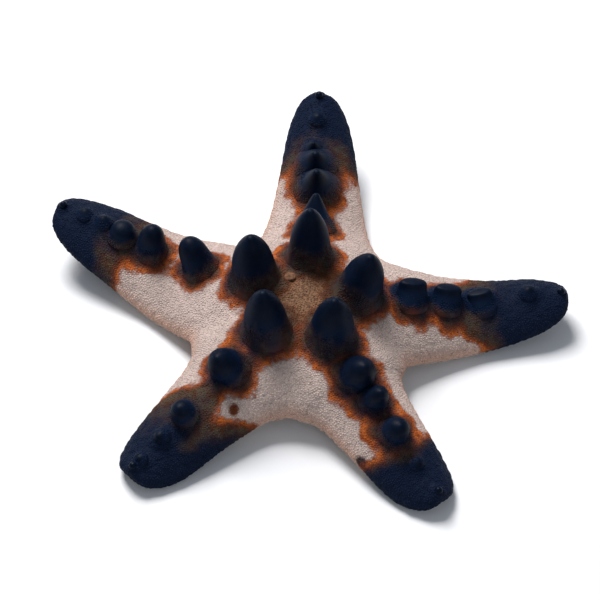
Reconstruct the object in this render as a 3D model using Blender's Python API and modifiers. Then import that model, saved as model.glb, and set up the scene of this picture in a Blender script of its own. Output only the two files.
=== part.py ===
"""Horned sea star (Protoreaster nodosus), life size, as a still museum model.

The animal lies mouth down on a floor at z = 0, with +X to its right and +Y to its rear. One cage
holds the whole body: a domed disc and five ridged arms, each with its groove underneath. Every
sub-part is that cage smoothed, kept inside its own region, joined to the horns that grow from it,
and levelled where it stands on the floor. Lengths are in metres and angles in degrees.
"""

import math
from collections import namedtuple

import bmesh
import bpy
from mathutils import Matrix, Vector

# Whole body
ARM_LENGTH = 0.070
NOTCH_RADIUS = 0.0313
BODY_THICKNESS = 0.0160
DISC_CLEARANCE = 0.0030
VALLEY_HOLD = 2.2
VALLEY_FALL = 0.8
FOOT_DIP = 0.0017
FOOT_SPREAD = 0.10
SWAY_START = 0.3
HEADING_STEP = 0.01
SLOPE_STEP = 0.03
GAP = 0.0003
BLOCK = 4 * ARM_LENGTH

# Cross-section of an arm: shares of its half width and of its thickness
FLANK = (0.68, 0.71)
MARGIN_UP = 0.27
BELLY_ACROSS = 0.80

# Groove under each arm, and the mouth where the grooves meet
GROOVE_HALF_WIDTH = 0.0017
GROOVE_TIP_HALF_WIDTH = 0.0009
GROOVE_SHARE = 0.35
GROOVE_DEPTH = 0.17
MOUTH_DEPTH = 0.0048

# Stations along an arm, as shares of its length: those inside the disc, and those beyond the notch
DISC_ROWS = (0.12, 0.22, 0.31)
ARM_ROWS = (0.42, 0.54, 0.70, 0.86, 0.975)

# Half width and thickness along an arm, as (share of length, share of arm length)
HALF_WIDTH = ((0.36, 0.262), (0.40, 0.230), (0.48, 0.205), (0.58, 0.182), (0.70, 0.159),
              (0.82, 0.143), (0.92, 0.122), (0.98, 0.082), (1.0, 0.050))
THICKNESS = ((0.0, 0.229), (0.22, 0.230), (0.36, 0.212), (0.48, 0.192), (0.58, 0.178),
             (0.70, 0.165), (0.82, 0.152), (0.92, 0.128), (0.98, 0.080), (1.0, 0.050))
TIP_RISE = ((0.0, 0.0), (0.82, 0.0), (0.92, 0.006), (0.98, 0.028), (1.0, 0.050))

# Where a broad-ended arm swells, and over what share of its length
SWELL_AT = 0.84
SWELL_SPREAD = 0.22

# The parting between the disc and an arm leans in as it rises, to pass between their horns
PARTING_AT_FLOOR = 0.0282
PARTING_AT_TOP = 0.0226

# Horns: the disc's tall bullets, the arms' tents, barrels, stumps and domes on flared feet, and the low
# studs near an arm's tip. Outlines are (radius, height) in shares of the base radius and the height.
DISC_HORN_SEGMENTS = 12
HORN_SEGMENTS = 12
BULLET = ((1.24, -0.12), (1.14, 0.03), (0.99, 0.22), (0.86, 0.49), (0.62, 0.76), (0.28, 0.95), (0.0, 1.0))
TENT = ((1.04, -0.30), (1.26, 0.0), (0.98, 0.24), (0.70, 0.49), (0.44, 0.76), (0.22, 0.95), (0.0, 1.0))
BARREL = ((1.34, -0.13), (1.18, 0.03), (1.04, 0.22), (0.96, 0.49), (0.80, 0.76), (0.45, 0.95), (0.0, 1.0))
STUMP = ((1.16, -0.44), (1.20, 0.0), (1.03, 0.24), (0.98, 0.49), (0.93, 0.76), (0.72, 0.95), (0.0, 1.0))
DOME = ((1.26, -0.12), (1.15, 0.03), (1.02, 0.22), (0.92, 0.49), (0.72, 0.76), (0.38, 0.95), (0.0, 1.0))
STUD_PROFILE = ((1.25, -0.90), (1.12, 0.15), (0.66, 0.78), (0.0, 1.0))
STUD_HEIGHT = 0.0030
HORN_SINK = 0.0006

Horn = namedtuple("Horn", "at height base lean aside roll", defaults=(0.0, 0.0, 0.0))
Arm = namedtuple(
    "Arm",
    "name azimuth length girth swell sway foot lift lift_power first_lean lean outline first horns",
)

# azimuth, length and girth (share of the usual width) say how the arm lies, swell how much broader its
# end is, and sway how far its tip bends to its left. It stands on the floor at foot, and its tip is
# lifted beyond that by lift. first is the tall horn at its root, on the disc, with its own lean. Its
# other horns share an outline and a lean, to which a horn may add its own; aside moves a horn to the left
# of the arm's ridge, and roll leans it to the left.
ARMS = (
    Arm(
        name="arm_rear", azimuth=84.0, length=0.0712, girth=1.03, swell=0.0, sway=0.0034,
        foot=0.48, lift=0.014, lift_power=1.3, first_lean=5.0, lean=4.0, outline=TENT,
        first=Horn(0.204, 0.0172, 0.0058),
        horns=(
            Horn(0.395, 0.0090, 0.0035),
            Horn(0.585, 0.0102, 0.0047, 0.0, 0.0003),
            Horn(0.675, 0.0066, 0.0043, 0.0, 0.0009),
            Horn(0.735, 0.0040, 0.0026, 0.0, 0.0016),
            Horn(0.86, 0.0014, 0.0020, 0.0, 0.0005),
        ),
    ),
    Arm(
        name="arm_left", azimuth=152.0, length=0.075, girth=1.06, swell=0.0, sway=0.001,
        foot=0.5, lift=0.0095, lift_power=1.2, first_lean=4.0, lean=8.0, outline=BARREL,
        first=Horn(0.208, 0.0164, 0.0063),
        horns=(
            Horn(0.42, 0.0095, 0.0040, -12.0),
            Horn(0.61, 0.0088, 0.0036),
            Horn(0.72, 0.0040, 0.0033, 0.0, 0.0006),
            Horn(0.80, 0.0022, 0.0023),
            Horn(0.875, 0.0014, 0.0020),
        ),
    ),
    Arm(
        name="arm_front_left", azimuth=227.0, length=0.0652, girth=1.05, swell=0.12, sway=-0.0012,
        foot=0.88, lift=0.0, lift_power=1.0, first_lean=4.0, lean=14.0, outline=DOME,
        first=Horn(0.204, 0.0164, 0.0061),
        horns=(
            Horn(0.44, 0.0095, 0.0045),
            Horn(0.69, 0.0044, 0.0032),
            Horn(0.815, 0.0022, 0.0021),
            Horn(0.93, 0.0012, 0.0017),
        ),
    ),
    Arm(
        name="arm_front_right", azimuth=299.5, length=0.0652, girth=0.98, swell=0.15, sway=0.004,
        foot=0.88, lift=0.0, lift_power=1.0, first_lean=6.0, lean=15.0, outline=DOME,
        first=Horn(0.204, 0.0165, 0.0061),
        horns=(
            Horn(0.415, 0.0095, 0.0045),
            Horn(0.535, 0.0078, 0.0033, 0.0, 0.0004),
            Horn(0.69, 0.0058, 0.0035),
            Horn(0.84, 0.0012, 0.0018),
        ),
    ),
    Arm(
        name="arm_right", azimuth=7.5, length=0.0707, girth=1.06, swell=0.0, sway=-0.0014,
        foot=0.62, lift=0.0042, lift_power=1.3, first_lean=12.0, lean=3.0, outline=STUMP,
        first=Horn(0.206, 0.0148, 0.0062),
        horns=(
            Horn(0.398, 0.0048, 0.0039, -8.0, -0.0006, 16.0),
            Horn(0.530, 0.0044, 0.0038, -14.0, -0.0006, 16.0),
            Horn(0.66, 0.0038, 0.0035, 0.0, -0.0006, 16.0),
            Horn(0.84, 0.0018, 0.0022),
        ),
    ),
)

# Sieve plate on the disc, between the rear and left arms. Its outline is (radius, height) in shares.
SIEVE_PLATE_OUT = 0.0078
SIEVE_PLATE_RADIUS = 0.0016
SIEVE_PLATE_SEGMENTS = 16
SIEVE_PLATE_HEIGHT = 0.0012
SIEVE_PLATE_SHOWS = 0.0007
SIEVE_PLATE_PROFILE = ((0.9, 0.0), (1.0, 0.35), (0.85, 0.75), (0.5, 0.95), (0.0, 1.0))
SIEVE_POCKET_TOP = 0.0048

# Ring of mouth plates, in a round hollow under the disc
MOUTH_ROOF = 0.0054
MOUTH_OUTER = 0.0044
MOUTH_THROAT = 0.0030
MOUTH_JAW = 0.0015
MOUTH_JAW_WIDTH = 22.0
MOUTH_THICKNESS = 0.0014
MOUTH_STEPS = 30

# Rounded plate that carries the eye at each arm's end
EYE_PLATE_AT = 0.962
EYE_PLATE_RADIUS = 0.0011
EYE_PLATE_SINK = 0.0006
EYE_PLATE_SEGMENTS = 8
EYE_PLATE_RINGS = 6

# Edges sharper than this are shaded as creases
CREASE = 60.0

# Material colours: base, then roughness
SKIN_LOOK = ((0.52, 0.38, 0.30, 1.0), 0.65)
HORN_LOOK = ((0.010, 0.018, 0.030, 1.0), 0.35)
SIEVE_LOOK = ((0.70, 0.60, 0.52, 1.0), 0.60)
MOUTH_LOOK = ((0.66, 0.52, 0.42, 1.0), 0.55)
EYE_LOOK = ((0.05, 0.06, 0.10, 1.0), 0.40)


def read_curve(points, at):
    """Value at a station of a smooth curve through (station, value) points."""
    if at <= points[0][0]:
        return points[0][1]
    if at >= points[-1][0]:
        return points[-1][1]
    index = max(i for i, point in enumerate(points) if point[0] <= at)
    start, end = points[index], points[index + 1]
    before = points[max(index - 1, 0)]
    after = points[min(index + 2, len(points) - 1)]
    span = end[0] - start[0]
    share = (at - start[0]) / span
    rise_in = (end[1] - before[1]) / (end[0] - before[0]) * span
    rise_out = (after[1] - start[1]) / (after[0] - start[0]) * span
    square, cube = share**2, share**3
    return (
        (2 * cube - 3 * square + 1) * start[1]
        + (cube - 2 * square + share) * rise_in
        + (3 * square - 2 * cube) * end[1]
        + (cube - square) * rise_out
    )


def up(height):
    return Vector((0.0, 0.0, height))


def direction(azimuth):
    return Vector((math.cos(math.radians(azimuth)), math.sin(math.radians(azimuth)), 0.0))


def leaning(azimuth, lean):
    """Upward axis that leans out by an angle."""
    return direction(azimuth) * math.sin(math.radians(lean)) + up(math.cos(math.radians(lean)))


def half_turn(arm, following):
    return (following.azimuth - arm.azimuth) % 360.0 / 2


def valley_azimuth(arm, following):
    return arm.azimuth + half_turn(arm, following)


def neighbours(index):
    """The arms that follow and precede one, anticlockwise."""
    return ARMS[(index + 1) % len(ARMS)], ARMS[index - 1]


def underside(arm, at):
    """Height of an arm's underside: arched from the disc to its foot, and lifted beyond it."""
    arch = DISC_CLEARANCE * max(0.0, 1 - (at / arm.foot) ** 2)
    dip = FOOT_DIP * math.exp(-(((at - arm.foot) / FOOT_SPREAD) ** 2))
    beyond = max(0.0, at - arm.foot) / (1 - arm.foot)
    return arch - dip + arm.lift * beyond**arm.lift_power + ARM_LENGTH * read_curve(TIP_RISE, at)


def thickness(at):
    return ARM_LENGTH * read_curve(THICKNESS, at)


def ridge(arm, at):
    return underside(arm, at) + thickness(at)


def middle(arm, at):
    """Point of an arm's middle line, seen from above."""
    bend = max(0.0, at - SWAY_START) / (1 - SWAY_START)
    left = direction(arm.azimuth + 90)
    return direction(arm.azimuth) * arm.length * at + left * arm.sway * bend**2


def heading(arm, at):
    return (middle(arm, at + HEADING_STEP) - middle(arm, at - HEADING_STEP)).normalized()


def place(arm, at, across, height):
    """Point beside an arm's middle line; across is positive to its left."""
    along = heading(arm, at)
    left = Vector((-along.y, along.x, 0.0))
    return middle(arm, at) + left * across + up(height)


def half_width(arm, at):
    """Half width of an arm beyond the notch."""
    swelling = 1 + arm.swell * math.exp(-(((at - SWELL_AT) / SWELL_SPREAD) ** 2))
    return arm.length * arm.girth * swelling * read_curve(HALF_WIDTH, at)


def groove_half_width(at, half):
    width = GROOVE_HALF_WIDTH + (GROOVE_TIP_HALF_WIDTH - GROOVE_HALF_WIDTH) * at
    return min(width, GROOVE_SHARE * half)


def arm_section(arm, at):
    """Ten points round an arm beyond the notch, from its left margin over the ridge."""
    half = half_width(arm, at)
    low, thick = underside(arm, at), thickness(at)
    lip = groove_half_width(at, half)
    side = ((1.0, MARGIN_UP), FLANK)
    left = [place(arm, at, half * across, low + thick * rise) for across, rise in side]
    top = [place(arm, at, 0.0, low + thick)]
    right = [place(arm, at, -half * across, low + thick * rise) for across, rise in reversed(side)]
    under = [
        place(arm, at, -half * BELLY_ACROSS, low),
        place(arm, at, -lip, low),
        place(arm, at, 0.0, low + thick * GROOVE_DEPTH),
        place(arm, at, lip, low),
        place(arm, at, half * BELLY_ACROSS, low),
    ]
    return left + top + right + under


def valley_height(radius, margin):
    """Height of the disc's top on the line between two arms, which falls to the notch's margin."""
    crown = DISC_CLEARANCE + BODY_THICKNESS
    share = min(radius / NOTCH_RADIUS, 1.0)
    return margin + (crown - margin) * (1 - share**VALLEY_HOLD) ** VALLEY_FALL


def notch_margin(arm, following):
    at = NOTCH_RADIUS / ARM_LENGTH * math.cos(math.radians(half_turn(arm, following)))
    low = (underside(arm, at) + underside(following, at)) / 2
    return low + MARGIN_UP * thickness(at)


class Valley:
    """The line between two arms, on the disc's top and underside, which both arms' cages share."""

    def __init__(self, mesh, arm, following):
        self.half_turn = math.radians(half_turn(arm, following))
        out = direction(valley_azimuth(arm, following))
        margin = notch_margin(arm, following)
        self.top, self.under = [], []
        for at in DISC_ROWS:
            radius = ARM_LENGTH * at / math.cos(self.half_turn)
            low = (underside(arm, at) + underside(following, at)) / 2
            self.top.append(mesh.verts.new(out * radius + up(valley_height(radius, margin))))
            self.under.append(mesh.verts.new(out * radius + up(low)))
        self.notch = mesh.verts.new(out * NOTCH_RADIUS + up(margin))

    def at_row(self, row):
        """Its top and underside points at a row; beyond the last row both are the notch."""
        if row == len(DISC_ROWS):
            return self.notch, self.notch
        return self.top[row], self.under[row]


def disc_row(mesh, arm, row, left, right):
    """The points of one arm's share of the disc at a row, over it and under it, left to right."""
    turns = (math.cos(left.half_turn) + math.cos(right.half_turn)) / 2
    at = NOTCH_RADIUS / ARM_LENGTH * turns if row == len(DISC_ROWS) else DISC_ROWS[row]
    reach = ARM_LENGTH * at
    high, low = ridge(arm, at), underside(arm, at)
    axis, side = direction(arm.azimuth), direction(arm.azimuth + 90)

    def point(across, height):
        return mesh.verts.new(axis * reach + side * across + up(height))

    def flank(sign, valley):
        across, rise = FLANK
        edge = valley.at_row(row)[0].co.z
        height = edge + (high - edge) * (rise - MARGIN_UP) / (1 - MARGIN_UP)
        return point(sign * across * reach * math.tan(valley.half_turn), height)

    def belly(sign, valley):
        half = reach * math.tan(valley.half_turn)
        lip = groove_half_width(at, half)
        return [point(sign * half * BELLY_ACROSS, low), point(sign * lip, low)]

    over = [flank(1, left), point(0.0, high), flank(-1, right)]
    groove = point(0.0, low + thickness(at) * GROOVE_DEPTH)
    under = belly(1, left) + [groove] + belly(-1, right)[::-1]
    left_top, left_low = left.at_row(row)
    right_top, right_low = right.at_row(row)
    return [left_top] + over + [right_top], [left_low] + under + [right_low]


def strip(mesh, first, second):
    for index in range(len(first) - 1):
        mesh.faces.new((first[index], first[index + 1], second[index + 1], second[index]))


def fan(mesh, pole, row):
    for index in range(len(row) - 1):
        mesh.faces.new((pole, row[index], row[index + 1]))


def add_arm(mesh, arm, left, right, crown, mouth):
    """One arm's share of the cage, from the middle of the disc to its tip."""
    over, under = disc_row(mesh, arm, 0, left, right)
    fan(mesh, crown, over)
    fan(mesh, mouth, under)
    for row in range(1, len(DISC_ROWS) + 1):
        next_over, next_under = disc_row(mesh, arm, row, left, right)
        strip(mesh, over, next_over)
        strip(mesh, under, next_under)
        over, under = next_over, next_under
    loop = over + under[-2:0:-1]
    for at in ARM_ROWS:
        next_loop = [mesh.verts.new(point) for point in arm_section(arm, at)]
        strip(mesh, loop + loop[:1], next_loop + next_loop[:1])
        loop = next_loop
    tip = mesh.verts.new(place(arm, 1.0, 0.0, underside(arm, 1.0) + thickness(1.0) / 2))
    fan(mesh, tip, loop + loop[:1])


def body_cage():
    """The whole animal as one closed cage, without its horns."""
    mesh = bmesh.new()
    valleys = [Valley(mesh, arm, neighbours(index)[0]) for index, arm in enumerate(ARMS)]
    crown = mesh.verts.new(up(DISC_CLEARANCE + BODY_THICKNESS))
    mouth = mesh.verts.new(up(DISC_CLEARANCE + MOUTH_DEPTH))
    for index, arm in enumerate(ARMS):
        add_arm(mesh, arm, valleys[index], valleys[index - 1], crown, mouth)
    bmesh.ops.recalc_face_normals(mesh, faces=mesh.faces)
    return mesh_data("body_cage", mesh)


def mesh_data(name, mesh):
    data = bpy.data.meshes.new(name)
    mesh.to_mesh(data)
    mesh.free()
    return data


def add_object(name, data, collection):
    made = bpy.data.objects.new(name, data)
    collection.objects.link(made)
    return made


def as_cutter(made):
    made.hide_render = True
    made.display_type = "WIRE"
    return made


def parting_plane(azimuth, offset):
    """Point and outward normal of a parting plane, moved out by an offset."""
    lean = math.atan2(PARTING_AT_FLOOR - PARTING_AT_TOP, BODY_THICKNESS)
    out = direction(azimuth)
    normal = out * math.cos(lean) + up(math.sin(lean))
    return out * PARTING_AT_FLOOR + normal * offset, normal


def region(name, planes, cutters):
    """A block larger than the animal, kept on the inner side of each (point, outward normal) plane."""
    mesh = bmesh.new()
    bmesh.ops.create_cube(mesh, size=BLOCK)
    for point, normal in planes:
        everything = mesh.verts[:] + mesh.edges[:] + mesh.faces[:]
        cut = bmesh.ops.bisect_plane(
            mesh, geom=everything, plane_co=point, plane_no=normal, clear_outer=True
        )
        rim = [item for item in cut["geom_cut"] if isinstance(item, bmesh.types.BMEdge)]
        bmesh.ops.edgeloop_fill(mesh, edges=rim)
    bmesh.ops.recalc_face_normals(mesh, faces=mesh.faces)
    return as_cutter(add_object(name, mesh_data(name, mesh), cutters))


def disc_region(cutters):
    planes = [parting_plane(arm.azimuth, -GAP / 2) for arm in ARMS]
    return region("region_disc", planes, cutters)


def arm_region(index, cutters):
    """The wedge of one arm: beyond its parting plane and between its two valleys."""
    arm = ARMS[index]
    following, preceding = neighbours(index)
    point, normal = parting_plane(arm.azimuth, GAP / 2)
    left_side = direction(valley_azimuth(arm, following) + 90)
    right_side = direction(valley_azimuth(preceding, arm) - 90)
    planes = [(point, -normal), (up(0.0), left_side), (up(0.0), right_side)]
    return region(f"region_{arm.name}", planes, cutters)


def floor_block(cutters):
    mesh = bmesh.new()
    bmesh.ops.create_cube(mesh, size=BLOCK)
    bmesh.ops.translate(mesh, verts=mesh.verts, vec=up(-BLOCK / 2))
    return as_cutter(add_object("floor_block", mesh_data("floor_block", mesh), cutters))


def turned(name, profile, segments, collection):
    """A solid turned about Z from an outline of (radius, height) points, the lowest first."""
    mesh = bmesh.new()
    outline = [(0.0, profile[0][1])] + list(profile)
    verts = [mesh.verts.new((radius, 0.0, height)) for radius, height in reversed(outline)]
    for first, second in zip(verts, verts[1:]):
        mesh.edges.new((first, second))
    made = add_object(name, mesh_data(name, mesh), collection)
    screw = made.modifiers.new("turn", "SCREW")
    screw.steps = segments
    screw.render_steps = segments
    screw.use_merge_vertices = True
    screw.merge_threshold = 0.00001
    return made


def stand_on(made, point, axis):
    made.matrix_world = Matrix.Translation(point) @ axis.to_track_quat("Z", "X").to_matrix().to_4x4()


def boolean(made, name, operation, other):
    modifier = made.modifiers.new(name, "BOOLEAN")
    modifier.operation = operation
    modifier.material_mode = "TRANSFER" if operation == "UNION" else "INDEX"
    if isinstance(other, bpy.types.Collection):
        modifier.operand_type = "COLLECTION"
        modifier.collection = other
    else:
        modifier.object = other


def material_of(name, look):
    colour, roughness = look
    material = bpy.data.materials.new(name)
    material.use_nodes = True
    shader = material.node_tree.nodes["Principled BSDF"]
    shader.inputs["Base Color"].default_value = colour
    shader.inputs["Roughness"].default_value = roughness
    shader.inputs["Metallic"].default_value = 0.0
    return material


def add_horn(name, point, axis, horn, outline, segments, material, collection):
    """A horn or stud to be joined to the body, its foot sunk a little into it."""
    profile = outline if horn.height > STUD_HEIGHT else STUD_PROFILE
    sized = [(radius * horn.base, rise * horn.height) for radius, rise in profile]
    made = as_cutter(turned(name, sized, segments, collection))
    made.data.materials.append(material)
    stand_on(made, point - axis * HORN_SINK, axis)


def disc_horns(material, collection):
    """The five tall horns that stand in a ring, one at the root of each arm."""
    for arm in ARMS:
        horn = arm.first
        point = direction(arm.azimuth) * ARM_LENGTH * horn.at + up(ridge(arm, horn.at))
        axis = leaning(arm.azimuth, arm.first_lean)
        name = f"horn_{arm.name}_0"
        add_horn(name, point, axis, horn, BULLET, DISC_HORN_SEGMENTS, material, collection)


def arm_horns(arm, material, collection):
    """An arm's row of horns along its ridge, square to it and leaning on towards the tip."""
    for index, horn in enumerate(arm.horns):
        beyond = horn.at + SLOPE_STEP
        point = place(arm, horn.at, horn.aside, ridge(arm, horn.at))
        ahead = place(arm, beyond, horn.aside, ridge(arm, beyond)) - point
        fall = math.degrees(math.atan2(-ahead.z, ahead.xy.length))
        azimuth = math.degrees(math.atan2(ahead.y, ahead.x))
        axis = leaning(azimuth, fall + arm.lean + horn.lean)
        roll = math.radians(horn.roll)
        axis = axis * math.cos(roll) + direction(azimuth + 90) * math.sin(roll)
        name = f"horn_{arm.name}_{index + 1}"
        add_horn(name, point, axis, horn, arm.outline, HORN_SEGMENTS, material, collection)


def shade(made):
    made.data.shade_smooth()
    made.data.set_sharp_from_angle(angle=math.radians(CREASE))


def body_piece(name, cage, keep, horns, cuts, material, parts):
    """One sub-part of the body: the smoothed cage inside its region, with its horns, less the cuts."""
    made = add_object(name, cage.copy(), parts)
    smooth = made.modifiers.new("smooth", "SUBSURF")
    smooth.levels = 1
    smooth.render_levels = 1
    boolean(made, "region", "INTERSECT", keep)
    boolean(made, "horns", "UNION", horns)
    for index, cut in enumerate(cuts):
        boolean(made, f"cut_{index}", "DIFFERENCE", cut)
    made.data.materials.append(material)
    shade(made)


def sieve_plate(material, parts, cutters):
    """The sieve plate, a low domed button in its pocket. Returns the pocket's cutter."""
    arm, following = ARMS[0], neighbours(0)[0]
    azimuth = valley_azimuth(arm, following)
    margin = notch_margin(arm, following)
    inner = valley_height(SIEVE_PLATE_OUT - SLOPE_STEP * ARM_LENGTH, margin)
    outer = valley_height(SIEVE_PLATE_OUT + SLOPE_STEP * ARM_LENGTH, margin)
    fall = math.degrees(math.atan2(inner - outer, 2 * SLOPE_STEP * ARM_LENGTH))
    axis = leaning(azimuth, fall)
    surface = direction(azimuth) * SIEVE_PLATE_OUT + up(valley_height(SIEVE_PLATE_OUT, margin))
    base = surface - axis * (SIEVE_PLATE_HEIGHT - SIEVE_PLATE_SHOWS)
    dome = [(out * SIEVE_PLATE_RADIUS, rise * SIEVE_PLATE_HEIGHT) for out, rise in SIEVE_PLATE_PROFILE]
    plate = turned("sieve_plate", dome, SIEVE_PLATE_SEGMENTS, parts)
    plate.data.materials.append(material)
    stand_on(plate, base, axis)
    shade(plate)
    room = SIEVE_PLATE_RADIUS + GAP
    well = ((room, -GAP), (room, SIEVE_POCKET_TOP), (0.0, SIEVE_POCKET_TOP))
    pocket = as_cutter(turned("sieve_plate_pocket", well, SIEVE_PLATE_SEGMENTS, cutters))
    stand_on(pocket, base, axis)
    return pocket


def mouth_reach(azimuth):
    """Radius of the mouth's opening: wide over each groove, narrow at the jaw in each valley."""
    jaws = [valley_azimuth(arm, neighbours(index)[0]) for index, arm in enumerate(ARMS)]
    off = min(abs((azimuth - jaw + 180) % 360 - 180) for jaw in jaws)
    return MOUTH_THROAT - (MOUTH_THROAT - MOUTH_JAW) * math.exp(-((off / MOUTH_JAW_WIDTH) ** 2))


def mouth_plates(material, parts, cutters):
    """The ring of mouth plates, its five jaws pointing inwards. Returns its hollow's cutter."""
    mesh = bmesh.new()
    rings = []
    low = MOUTH_ROOF - GAP - MOUTH_THICKNESS
    for rim, height in (("inner", low), ("outer", low), ("outer", low + MOUTH_THICKNESS),
                        ("inner", low + MOUTH_THICKNESS)):
        ring = []
        for step in range(MOUTH_STEPS):
            azimuth = step * 360.0 / MOUTH_STEPS
            radius = MOUTH_OUTER if rim == "outer" else mouth_reach(azimuth)
            ring.append(mesh.verts.new(direction(azimuth) * radius + up(height)))
        rings.append(ring + ring[:1])
    for first, second in zip(rings, rings[1:] + rings[:1]):
        strip(mesh, first, second)
    bmesh.ops.recalc_face_normals(mesh, faces=mesh.faces)
    made = add_object("mouth_plates", mesh_data("mouth_plates", mesh), parts)
    made.data.materials.append(material)
    shade(made)
    room = MOUTH_OUTER + GAP
    well = ((room, -MOUTH_ROOF), (room, MOUTH_ROOF), (0.0, MOUTH_ROOF))
    return as_cutter(turned("mouth_hollow", well, MOUTH_STEPS, cutters))


def eye_plate(arm, material, parts, cutters):
    """The bead at an arm's end, half sunk in a round pocket. Returns the pocket's cutter."""
    point = place(arm, EYE_PLATE_AT, 0.0, ridge(arm, EYE_PLATE_AT) - EYE_PLATE_SINK)
    made = []
    for name, radius, collection in (
        (arm.name.replace("arm", "eye_plate"), EYE_PLATE_RADIUS, parts),
        (f"eye_pocket_{arm.name}", EYE_PLATE_RADIUS + GAP, cutters),
    ):
        mesh = bmesh.new()
        bmesh.ops.create_uvsphere(
            mesh, u_segments=EYE_PLATE_SEGMENTS, v_segments=EYE_PLATE_RINGS, radius=radius
        )
        made.append(add_object(name, mesh_data(name, mesh), collection))
        made[-1].location = point
    made[0].data.materials.append(material)
    shade(made[0])
    return as_cutter(made[1])


def make_collection(name, parent):
    made = bpy.data.collections.new(name)
    parent.children.link(made)
    return made


def clear_scene():
    for made in list(bpy.data.objects):
        bpy.data.objects.remove(made)


def centre_footprint(parts, scene):
    """Hangs every object on one empty, moved so that the footprint's middle is the origin."""
    bpy.context.view_layer.update()
    graph = bpy.context.evaluated_depsgraph_get()
    corners = []
    for made in parts.objects:
        evaluated = made.evaluated_get(graph)
        corners += [evaluated.matrix_world @ Vector(corner) for corner in evaluated.bound_box]
    root = add_object("footprint_centre", None, scene.collection)
    for made in list(bpy.data.objects):
        if made is not root:
            made.parent = root
    for axis in range(2):
        sides = [corner[axis] for corner in corners]
        root.location[axis] = -(min(sides) + max(sides)) / 2


def main():
    clear_scene()
    scene = bpy.context.scene
    parts = make_collection("horned_sea_star", scene.collection)
    cutters = make_collection("cutters", scene.collection)
    cutters.hide_render = True
    skin = material_of("sea_star_skin", SKIN_LOOK)
    dark = material_of("horn_blue_black", HORN_LOOK)
    eye = material_of("eye_plate_dark", EYE_LOOK)
    cage = body_cage()
    floor = floor_block(cutters)
    pocket = sieve_plate(material_of("sieve_plate_pale", SIEVE_LOOK), parts, cutters)
    hollow = mouth_plates(material_of("mouth_plate_tan", MOUTH_LOOK), parts, cutters)
    crown = make_collection("horns_disc", cutters)
    disc_horns(dark, crown)
    body_piece("disc", cage, disc_region(cutters), crown, (floor, pocket, hollow), skin, parts)
    for index, arm in enumerate(ARMS):
        row = make_collection(f"horns_{arm.name}", cutters)
        arm_horns(arm, dark, row)
        socket = eye_plate(arm, eye, parts, cutters)
        body_piece(arm.name, cage, arm_region(index, cutters), row, (floor, socket), skin, parts)
    centre_footprint(parts, scene)


main()
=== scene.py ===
"""Horned sea star, life size: the finished surface of the museum model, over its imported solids.

The animal lies mouth down. Its flesh is one skin, drawn from the same sizes as the solids, with the
horns, granules, groove spines, tube feet and small plates set into it. Every place is measured from
the disc's centre, which is the middle of the mouth plates, on a floor at z = 0. Lengths are in
metres and angles in degrees, unless a name says otherwise.
"""

import sys

import logging
import math
from dataclasses import dataclass, field
from enum import Enum
from typing import Sequence

import bpy
import numpy as np
from bpy.types import Material, Mesh, Node, NodeTree, Object
from bpy.types import NodeSocket as Socket
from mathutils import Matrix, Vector, noise
from mathutils.bvhtree import BVHTree


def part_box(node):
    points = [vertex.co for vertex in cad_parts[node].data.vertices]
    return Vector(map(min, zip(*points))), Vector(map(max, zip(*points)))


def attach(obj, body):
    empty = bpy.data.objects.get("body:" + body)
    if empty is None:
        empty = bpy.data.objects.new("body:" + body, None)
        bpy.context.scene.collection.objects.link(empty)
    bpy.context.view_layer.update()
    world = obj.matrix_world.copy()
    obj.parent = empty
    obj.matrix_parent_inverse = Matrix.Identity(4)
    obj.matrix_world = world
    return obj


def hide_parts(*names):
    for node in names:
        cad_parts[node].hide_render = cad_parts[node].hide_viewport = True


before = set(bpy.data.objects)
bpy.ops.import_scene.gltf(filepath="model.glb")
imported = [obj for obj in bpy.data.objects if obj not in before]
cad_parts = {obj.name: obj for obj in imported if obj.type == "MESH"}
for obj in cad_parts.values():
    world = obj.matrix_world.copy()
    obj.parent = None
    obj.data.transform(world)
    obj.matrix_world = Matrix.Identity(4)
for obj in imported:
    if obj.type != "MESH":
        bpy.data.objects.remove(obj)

LOG = logging.getLogger("horned_sea_star")
Pair = tuple[float, float]
Colour = tuple[float, float, float]
Points = Sequence[Pair]
Array = np.ndarray


# -------------------- small tools


def unit(azimuth: float) -> Array:
    """Level direction of an azimuth."""
    turn = math.radians(azimuth)
    return np.array((math.cos(turn), math.sin(turn), 0.0))


def rise(height: float) -> Array:
    """Vector straight up."""
    return np.array((0.0, 0.0, height))


def leaning(azimuth: float, lean: float) -> Array:
    """Upward axis that leans out by an angle."""
    return unit(azimuth) * math.sin(math.radians(lean)) + rise(math.cos(math.radians(lean)))


def ramp(values: Array, low: float, high: float) -> Array:
    """Smooth step from 0 at low to 1 at high; low may be above high."""
    share = np.clip((values - low) / (high - low), 0.0, 1.0)
    return share * share * (3 - 2 * share)


def bell(values: Array, middle: float, width: float) -> Array:
    """Bell curve of height 1 round a middle."""
    return np.exp(-(((values - middle) / width) ** 2))


def offset_of(seed: float) -> Vector:
    """Where in the noise a seed begins."""
    return Vector((seed * 7.3, seed * 3.1, seed * 5.7))


def grain(points: Array, size: float, seed: float) -> Array:
    """Smooth random values from about -1 to 1 at points, with lumps of a size."""
    offset = offset_of(seed)
    return np.array([noise.noise(Vector(point) / size + offset) for point in points])


def cell_walls(points: Array, size: float, seed: float) -> Array:
    """How deep in a cell of a random network points lie: 0 at a wall, towards 1 at a middle."""
    offset = offset_of(seed)
    near = [noise.voronoi(Vector(point) / size + offset)[0] for point in points]
    return np.clip([second - first for first, second, *_ in near], 0.0, 1.0)


def merged(first: Array, second: Array, width: float) -> Array:
    """The greater of two values, rounded where they are within a width of each other."""
    overlap = np.clip(width - np.abs(first - second), 0.0, None)
    return np.maximum(first, second) + overlap**2 / (4 * width)


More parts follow.
